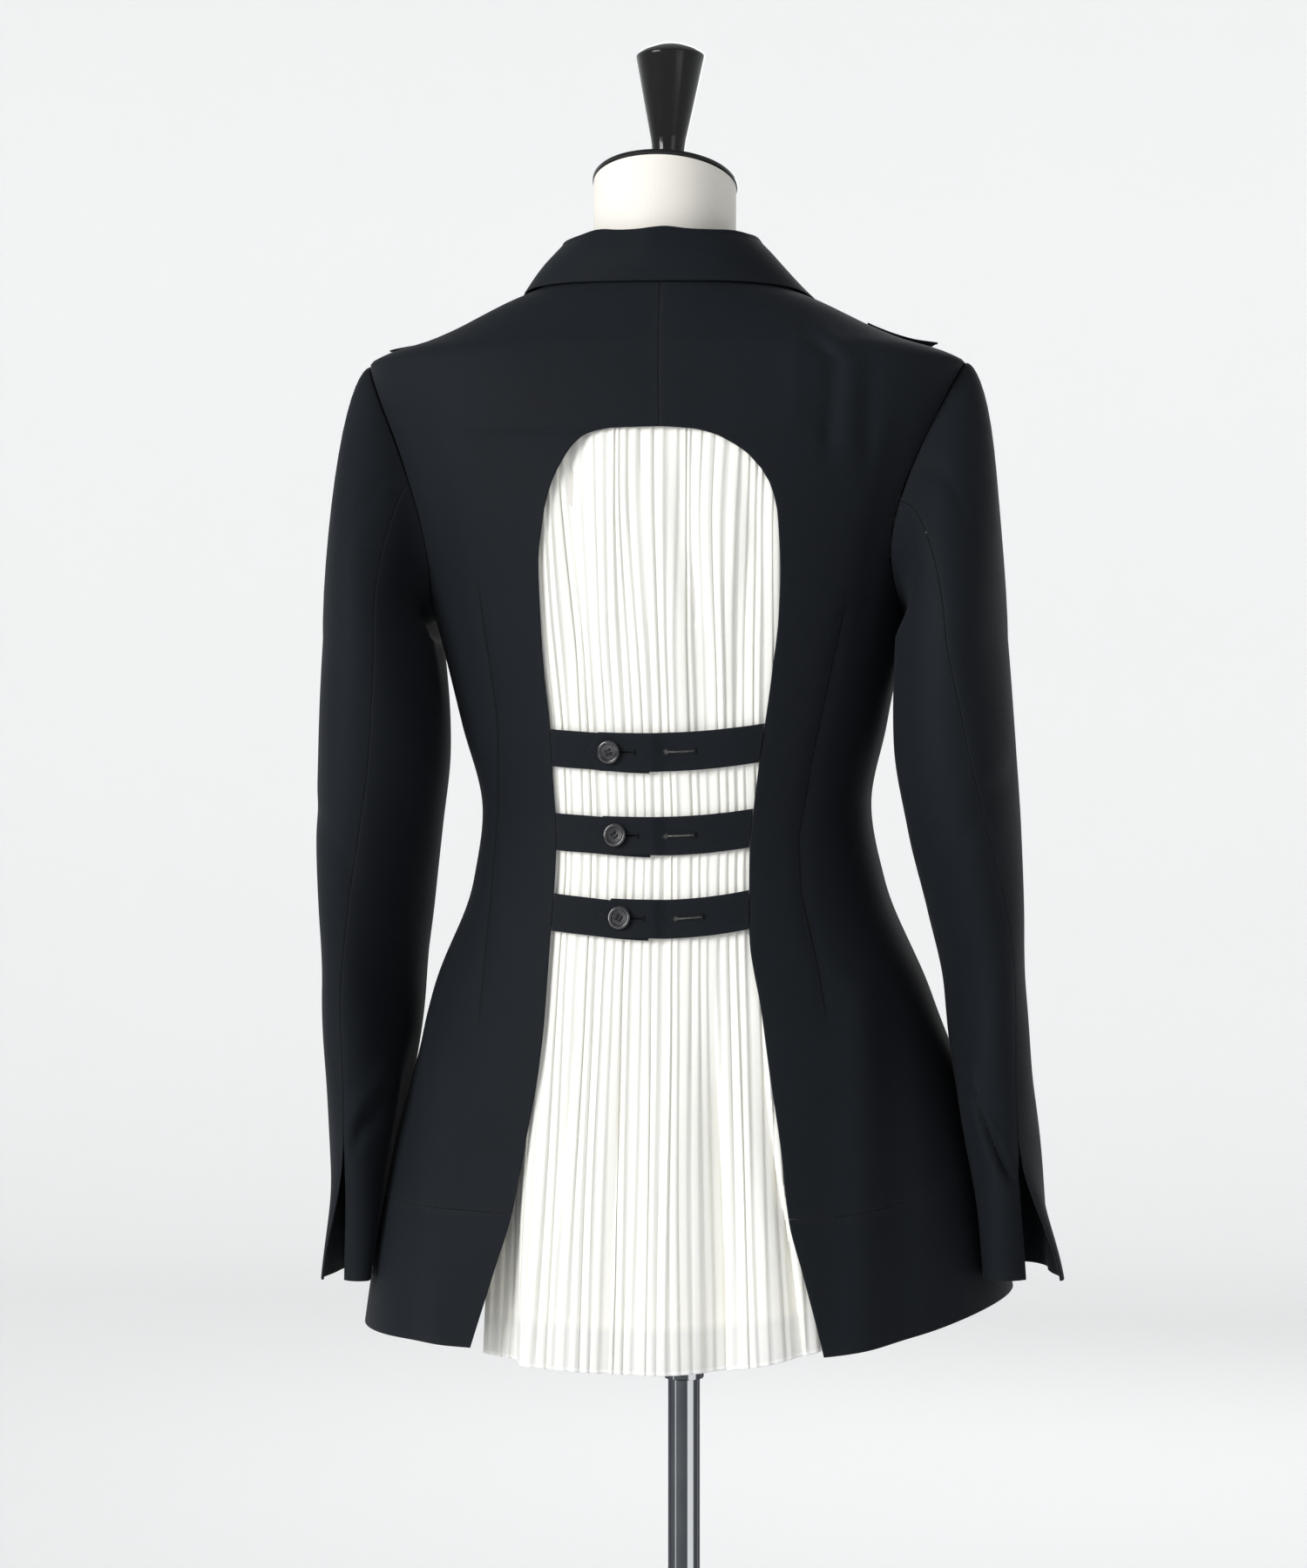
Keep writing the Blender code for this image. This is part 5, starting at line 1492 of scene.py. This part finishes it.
def pole(name):
    top, foot = TORSO[0].z - FORM_GAP, BASE_TOP_Z + FORM_GAP
    lip = 0.0012
    profile = [
        (NEAR_AXIS, top),
        (POLE_COLLAR_RADIUS - lip, top),
        (POLE_COLLAR_RADIUS, top - lip),
        (POLE_COLLAR_RADIUS, POLE_COLLAR_Z + lip),
        (POLE_COLLAR_RADIUS - 0.0004, POLE_COLLAR_Z + 0.0003),
        (POLE_COLLAR_RADIUS - lip, POLE_COLLAR_Z),
        (POLE_RADIUS + 0.0002, POLE_COLLAR_Z - 0.0002),
        (POLE_RADIUS, POLE_COLLAR_Z - 0.0015),
        (POLE_RADIUS, 0.3),
        (POLE_RADIUS, foot),
        (NEAR_AXIS, foot),
    ]
    belongs(lathe(name, profile, "chrome", 96), "chrome", "pole")


def base(name):
    profile = [(max(row.radius, NEAR_AXIS), row.z) for row in BASE]
    thing = lathe(name, profile, "chrome", 160)
    bevel = thing.modifiers.new("Soft edges", "BEVEL")
    bevel.width = 0.0012
    bevel.segments = 3
    bevel.angle_limit = radians(12)
    belongs(thing, "chrome", "base")


# Materials


def shader_tree(name):
    material = bpy.data.materials.new(name)
    material.use_nodes = True
    tree = material.node_tree
    return material, tree, tree.nodes["Principled BSDF"]


def fill_in(tree, target, values):
    """Links or sets each named or numbered socket of a node."""
    for key, value in values.items():
        if isinstance(value, bpy.types.NodeSocket):
            tree.links.new(value, target.inputs[key])
        else:
            target.inputs[key].default_value = value


def node(tree, kind, values=None, **settings):
    made_node = tree.nodes.new(kind)
    for key, value in settings.items():
        setattr(made_node, key, value)
    fill_in(tree, made_node, values or {})
    return made_node


def coordinates(tree, kind="Object"):
    return node(tree, "ShaderNodeTexCoord").outputs[kind]


def maths(tree, operation, *values):
    return node(tree, "ShaderNodeMath", dict(enumerate(values)), operation=operation).outputs[0]


def summed(tree, *parts):
    """The sum of patterns, each given with its share."""
    shares = [maths(tree, "MULTIPLY", pattern, share) for pattern, share in parts]
    total = shares[0]
    for share in shares[1:]:
        total = maths(tree, "ADD", total, share)
    return total


def ranged(tree, value, low, high, to_low, to_high):
    values = {"Value": value, "From Min": low, "From Max": high, "To Min": to_low, "To Max": to_high}
    return node(tree, "ShaderNodeMapRange", values, interpolation_type="SMOOTHSTEP").outputs["Result"]


def attribute(tree, name):
    return node(tree, "ShaderNodeAttribute", attribute_name=name).outputs["Fac"]


def blended(tree, factor, one, other):
    """From one colour to the other as the factor goes from 0 to 1."""
    one, other = (value if isinstance(value, bpy.types.NodeSocket) else (*value, 1) for value in (one, other))
    return node(tree, "ShaderNodeMix", {0: factor, 6: one, 7: other}, data_type="RGBA").outputs[2]


def noise(tree, where, scale, detail=3.0, rough=0.5):
    values = {"Vector": where, "Scale": scale, "Detail": detail, "Roughness": rough}
    return node(tree, "ShaderNodeTexNoise", values).outputs["Fac"]


def bands(tree, where, period, direction):
    """Soft lines a period apart, along X, Y or the diagonal."""
    reach = 2 * pi / 10 if direction == "DIAGONAL" else 2 * pi / 20
    values = {"Vector": where, "Scale": reach / period, "Distortion": 0.4, "Detail": 1.0, "Detail Scale": 1.5}
    wave = node(tree, "ShaderNodeTexWave", values, bands_direction=direction, wave_profile="SIN")
    return wave.outputs["Fac"]


def bumped(tree, shader, height, strength, distance):
    values = {"Height": height, "Strength": strength, "Distance": distance}
    tree.links.new(node(tree, "ShaderNodeBump", values).outputs["Normal"], shader.inputs["Normal"])


def suiting():
    material, tree, shader = shader_tree("suiting")
    where = coordinates(tree, "UV")
    space = coordinates(tree)
    twill = bands(tree, where, 0.00085, "DIAGONAL")
    yarn = bands(tree, where, 0.00042, "X")
    slub = noise(tree, where, 900, 4)
    cloud = noise(tree, space, 9, 4)
    weave = summed(tree, (twill, 0.6), (yarn, 0.25), (slub, 0.35))
    aside = maths(tree, "ABSOLUTE", attribute(tree, "aside"))
    groove = maths(tree, "MULTIPLY", ranged(tree, aside, 0.0002, 0.0009, 1.0, 0.0), attribute(tree, "dart"))
    height = maths(tree, "SUBTRACT", weave, maths(tree, "MULTIPLY", groove, 5.0))
    dark, light = (0.0036, 0.0050, 0.0072), (0.0064, 0.0086, 0.0117)
    tone = blended(tree, maths(tree, "MULTIPLY", weave, 0.8), dark, light)
    cloudy = blended(tree, ranged(tree, cloud, 0.35, 0.7, 0.0, 0.35), tone, (0.0075, 0.0098, 0.0130))
    worn_edge = maths(tree, "MULTIPLY", attribute(tree, "edge"), 0.30)
    edged = blended(tree, worn_edge, cloudy, (0.0125, 0.0140, 0.0165))
    # painted shade: the cloth is darker along each dart's groove
    dart_shaded = blended(tree, groove, edged, (0.0022, 0.0026, 0.0034))
    values = {
        "Base Color": dart_shaded,
        "Roughness": ranged(tree, slub, 0.3, 0.7, 0.66, 0.80),
        "Sheen Weight": 0.03,
        "Sheen Roughness": 0.45,
        "Sheen Tint": (0.75, 0.80, 0.90, 1),
        "Specular IOR Level": 0.12,
    }
    fill_in(tree, shader, values)
    bumped(tree, shader, height, 0.35, 0.00012)
    return material


def pleated_cloth():
    material, tree, shader = shader_tree("pleated_cloth")
    where = coordinates(tree, "UV")
    space = coordinates(tree)
    warp = bands(tree, where, 0.00045, "X")
    weft = bands(tree, where, 0.00050, "Y")
    slub = noise(tree, where, 700, 4)
    threads = summed(tree, (warp, 0.5), (weft, 0.5), (slub, 0.3))
    cloud = noise(tree, space, 14, 3)
    dark, light, cloudiest = (0.850, 0.824, 0.738), (0.915, 0.896, 0.822), (0.925, 0.907, 0.840)
    tone = blended(tree, ranged(tree, threads, 0.4, 1.1, 0.0, 1.0), dark, light)
    cloudy = blended(tree, ranged(tree, cloud, 0.4, 0.75, 0.0, 0.3), tone, cloudiest)
    # painted shade: the sheer cloth below the underlay's end is greyed, for the shade behind it showing
    # through
    sheer_shade_share = maths(tree, "MULTIPLY", attribute(tree, "sheer_shade"), 0.55)
    sheer_shaded = blended(tree, sheer_shade_share, cloudy, (0.68, 0.675, 0.655))
    hem_line = ranged(tree, attribute(tree, "hem"), 0.0022, 0.0030, 1.0, 0.0)
    values = {
        "Base Color": blended(tree, maths(tree, "MULTIPLY", hem_line, 0.5), sheer_shaded, (0.92, 0.91, 0.88)),
        "Roughness": ranged(tree, slub, 0.3, 0.7, 0.62, 0.78),
        "Sheen Weight": 0.15,
        "Sheen Roughness": 0.5,
        "Subsurface Weight": 0.25,
        "Subsurface Radius": (0.005, 0.0040, 0.0026),
        "Subsurface Scale": 1.0,
    }
    fill_in(tree, shader, values)
    bumped(tree, shader, threads, 0.3, 0.0001)
    return material


def plain_cloth(name, low, high, period):
    material, tree, shader = shader_tree(name)
    where = coordinates(tree)
    warp = bands(tree, where, period, "X")
    weft = bands(tree, where, period * 1.1, "Z")
    slub = noise(tree, where, 600, 4)
    cloud = noise(tree, where, 12, 4)
    threads = summed(tree, (warp, 0.5), (weft, 0.5), (slub, 0.4))
    values = {
        "Base Color": blended(tree, summed(tree, (threads, 0.5), (cloud, 0.5)), low, high),
        "Roughness": ranged(tree, slub, 0.3, 0.7, 0.70, 0.88),
        "Sheen Weight": 0.12,
        "Sheen Roughness": 0.5,
    }
    fill_in(tree, shader, values)
    bumped(tree, shader, threads, 0.35, 0.00012)
    return material


def thread():
    material, tree, shader = shader_tree("thread")
    where = coordinates(tree)
    ply = bands(tree, where, 0.0004, "DIAGONAL")
    values = {
        "Base Color": blended(tree, ply, (0.007, 0.008, 0.010), (0.018, 0.020, 0.024)),
        "Roughness": ranged(tree, ply, 0.0, 1.0, 0.42, 0.60),
        "Specular IOR Level": 0.25,
    }
    fill_in(tree, shader, values)
    bumped(tree, shader, ply, 0.4, 0.0001)
    return material


def horn():
    material, tree, shader = shader_tree("horn")
    where = coordinates(tree)
    streak = noise(tree, where, 180, 5, 0.65)
    fine = noise(tree, where, 1400, 2)
    dark, light = (0.008, 0.008, 0.010), (0.034, 0.033, 0.036)
    values = {
        "Base Color": blended(tree, ranged(tree, streak, 0.4, 0.68, 0.0, 1.0), dark, light),
        "Roughness": ranged(tree, fine, 0.3, 0.7, 0.14, 0.22),
        "Coat Weight": 0.7,
        "Coat Roughness": 0.08,
    }
    fill_in(tree, shader, values)
    bumped(tree, shader, fine, 0.08, 0.0001)
    return material


def black_lacquer():
    material, tree, shader = shader_tree("black_lacquer")
    where = coordinates(tree)
    smear = noise(tree, where, 45, 5, 0.6)
    peel = noise(tree, where, 260, 2)
    values = {
        "Base Color": blended(tree, smear, (0.0030, 0.0030, 0.0034), (0.0080, 0.0080, 0.0086)),
        "Roughness": ranged(tree, smear, 0.3, 0.75, 0.07, 0.17),
        "Specular IOR Level": 0.3,
        "Coat Weight": 0.15,
        "Coat Roughness": 0.04,
    }
    fill_in(tree, shader, values)
    bumped(tree, shader, peel, 0.05, 0.0004)
    return material


# Painted reflections: each streak is a studio lamp's reflection painted into the chrome's colour.
PaintedStreak = namedtuple("PaintedStreak", "toward half_width tone")  # degrees round from the back, to the wearer's right
PAINTED_REFLECTIONS = (
    PaintedStreak(34, 14, 1.00),
    PaintedStreak(-22, 3, 0.35),
    PaintedStreak(-62, 9, 0.12),
    PaintedStreak(70, 3, 0.25),
    PaintedStreak(112, 12, 0.80),
    PaintedStreak(160, 4, 0.30),
    PaintedStreak(205, 15, 0.90),
    PaintedStreak(250, 5, 0.40),
)
PAINTED_STREAKS_FROM_Z = (0.016, 0.030)  # they set in between these heights, so the base has none
BASE_TONE = 0.55


def chrome():
    """Polished metal with painted reflections: light streaks of a studio painted down it, and painted dark
    reflection between them.
    """
    material, tree, shader = shader_tree("chrome")
    where = coordinates(tree)
    smear = noise(tree, where, 30, 5, 0.6)
    fine = noise(tree, where, 900, 2)
    flat = node(tree, "ShaderNodeVectorMath", {0: where, 1: (1, 1, 0)}, operation="MULTIPLY").outputs[0]
    outward = node(tree, "ShaderNodeVectorMath", {0: flat}, operation="NORMALIZE").outputs[0]
    # Painted reflection: light where a streak faces, dark metal between, fixed to the pole.
    light = 0.0
    for streak in PAINTED_REFLECTIONS:
        toward = radians(streak.toward)
        values = {0: outward, 1: (sin(toward), -cos(toward), 0)}
        facing = node(tree, "ShaderNodeVectorMath", values, operation="DOT_PRODUCT").outputs["Value"]
        edge, heart = cos(radians(streak.half_width)), cos(radians(0.6 * streak.half_width))
        light = maths(tree, "MAXIMUM", light, ranged(tree, facing, edge, heart, 0.0, streak.tone))
    height = node(tree, "ShaderNodeSeparateXYZ", {"Vector": where}).outputs["Z"]
    light = maths(tree, "MULTIPLY", light, ranged(tree, height, *PAINTED_STREAKS_FROM_Z, 0.0, 1.0))
    light = maths(tree, "MAXIMUM", light, ranged(tree, height, *PAINTED_STREAKS_FROM_Z, BASE_TONE, 0.0))
    tone = blended(tree, light, (0.060, 0.066, 0.076), (0.90, 0.91, 0.93))
    values = {
        "Base Color": blended(tree, maths(tree, "MULTIPLY", smear, 0.12), tone, (0.40, 0.40, 0.40)),
        "Roughness": ranged(tree, smear, 0.3, 0.75, 0.06, 0.13),
        "Specular Tint": (0.35, 0.36, 0.38, 1),
        "Metallic": 1.0,
    }
    fill_in(tree, shader, values)
    bumped(tree, shader, fine, 0.04, 0.0001)
    return material


materials = {
    "suiting": suiting(),
    "pleated_cloth": pleated_cloth(),
    "underlay_cloth": plain_cloth("underlay_cloth", (0.52, 0.50, 0.46), (0.66, 0.64, 0.60), 0.0005),
    "form_cloth": plain_cloth("form_cloth", (0.66, 0.63, 0.57), (0.82, 0.79, 0.73), 0.0007),
    "thread": thread(),
    "horn": horn(),
    "black_lacquer": black_lacquer(),
    "chrome": chrome(),
}


# The room

BowlRow = namedtuple("BowlRow", "radius z")
BOWL_COLUMNS = 96
BOWL = (
    BowlRow(2.0, 0.0),
    BowlRow(5.6, 0.0),
    BowlRow(6.6, 0.15),
    BowlRow(7.4, 0.60),
    BowlRow(8.0, 1.40),
    BowlRow(8.3, 2.60),
    BowlRow(8.3, 6.00),
)
Lamp = namedtuple("Lamp", "name place aim width height power")
LAMPS = (
    Lamp("key", (-2.6, -3.1, 2.3), (0, 0, 1.0), 1.8, 2.2, 162),
    Lamp("fill", (2.8, -3.2, 1.7), (0, 0, 1.0), 1.8, 2.4, 14),
    Lamp("front", (0.2, 3.4, 2.4), (0, 0, 1.0), 2.4, 2.0, 30),
)
FLOOR_COLOUR = (0.80, 0.805, 0.805)
NEAR_GLOW, FAR_GLOW = 0.075, 0.445  # of the room, behind the garment's back and before its front
WORLD_COLOUR = (0.93, 0.95, 0.97)
WORLD_STRENGTH = 0.40
GLOW_Y = (-1.5, 7.5)  # from here to there the floor's own glow grows


def floor():
    material, tree, shader = shader_tree("floor")
    where = coordinates(tree)
    grain = noise(tree, where, 3, 3)
    low = tuple(0.985 * value for value in FLOOR_COLOUR)
    along_y = node(tree, "ShaderNodeSeparateXYZ", {"Vector": where}).outputs["Y"]
    values = {
        "Base Color": blended(tree, grain, low, FLOOR_COLOUR),
        "Roughness": 0.9,
        "Specular IOR Level": 0.2,
        "Emission Color": (*FLOOR_COLOUR, 1),
        "Emission Strength": ranged(tree, along_y, *GLOW_Y, NEAR_GLOW, FAR_GLOW),
    }
    fill_in(tree, shader, values)
    points = [point for row in BOWL for point in circle(row.radius, row.z, BOWL_COLUMNS)]
    faces = [face[::-1] for face in grid_faces(len(BOWL), BOWL_COLUMNS, closed=True)]
    faces.append(tuple(range(BOWL_COLUMNS)))
    mesh = bpy.data.meshes.new("floor")
    mesh.from_pydata(points, [], faces)
    mesh.shade_smooth()
    mesh.materials.append(material)
    thing = linked("floor", mesh)


def lights():
    for lamp in LAMPS:
        data = bpy.data.lights.new(lamp.name, "AREA")
        data.shape = "RECTANGLE"
        data.size, data.size_y = lamp.width, lamp.height
        data.energy = lamp.power
        light = linked(lamp.name, data)
        light.location = lamp.place
        aim = Vector(lamp.aim) - Vector(lamp.place)
        light.rotation_euler = aim.to_track_quat("-Z", "Y").to_euler()
    world = bpy.data.worlds.new("room")
    world.use_nodes = True
    sky = world.node_tree.nodes["Background"]
    sky.inputs["Color"].default_value = (*WORLD_COLOUR, 1)
    sky.inputs["Strength"].default_value = WORLD_STRENGTH
    bpy.context.scene.world = world
    bpy.context.scene.view_settings.view_transform = "Standard"


CAMERA_TURN = radians(10)
CAMERA_DISTANCE = 2.507
CAMERA_HEIGHT = 0.990
CAMERA_ASIDE = 0.0206
CAMERA_LENS = 85
CAMERA_SENSOR = 36


def camera():
    data = bpy.data.cameras.new("camera")
    data.lens = CAMERA_LENS
    data.sensor_width = CAMERA_SENSOR
    thing = linked("camera", data)
    turn, away = CAMERA_TURN, CAMERA_DISTANCE
    x = away * sin(turn) - CAMERA_ASIDE * cos(turn)
    y = -away * cos(turn) - CAMERA_ASIDE * sin(turn)
    thing.location = (x, y, CAMERA_HEIGHT)
    thing.rotation_euler = (pi / 2, 0, turn)
    bpy.context.scene.camera = thing


def dress():
    underlay("underlay_sheet")
    pleated_panel("pleats")
    torso("torso_form")
    for hand, side in SIDES.items():
        back_panel(f"back_panel_{hand}", side, f"back_{hand}")
        front_panel(f"front_panel_{hand}", side, f"front_{hand}")
        hem_band(f"band_{hand}", side, f"hem_band_{hand}")
        lapel(f"lapel_cloth_{hand}", side, f"lapel_{hand}")
        shoulder_flap(f"flap_{hand}", side, f"shoulder_flap_{hand}")
        top_sleeve(f"upper_sleeve_{hand}", side, f"top_sleeve_{hand}")
        under_sleeve(f"lower_sleeve_{hand}", side, f"under_sleeve_{hand}")
    collar("collar_cloth")
    for number, (strap, holes) in enumerate(zip(STRAPS, STRAP_HOLES), 1):
        under_strap(f"lower_strap_{number}", f"strap_under_{number}", strap)
        over_strap(f"upper_strap_{number}", f"strap_over_{number}", strap, holes)
        for kind, hole in zip(("open", "used"), holes):
            hole_stitches(f"hole_{kind}_{number}", strap, hole)
        strap_button(f"back_button_{number}", f"button_{number}", strap, 0.35 * number)
    front_button("closing_button", "front_button")
    neck_cap("neck_lid")
    knob("top_knob")
    pole("stand_pole")
    base("stand_base")


dress()
floor()
lights()
camera()
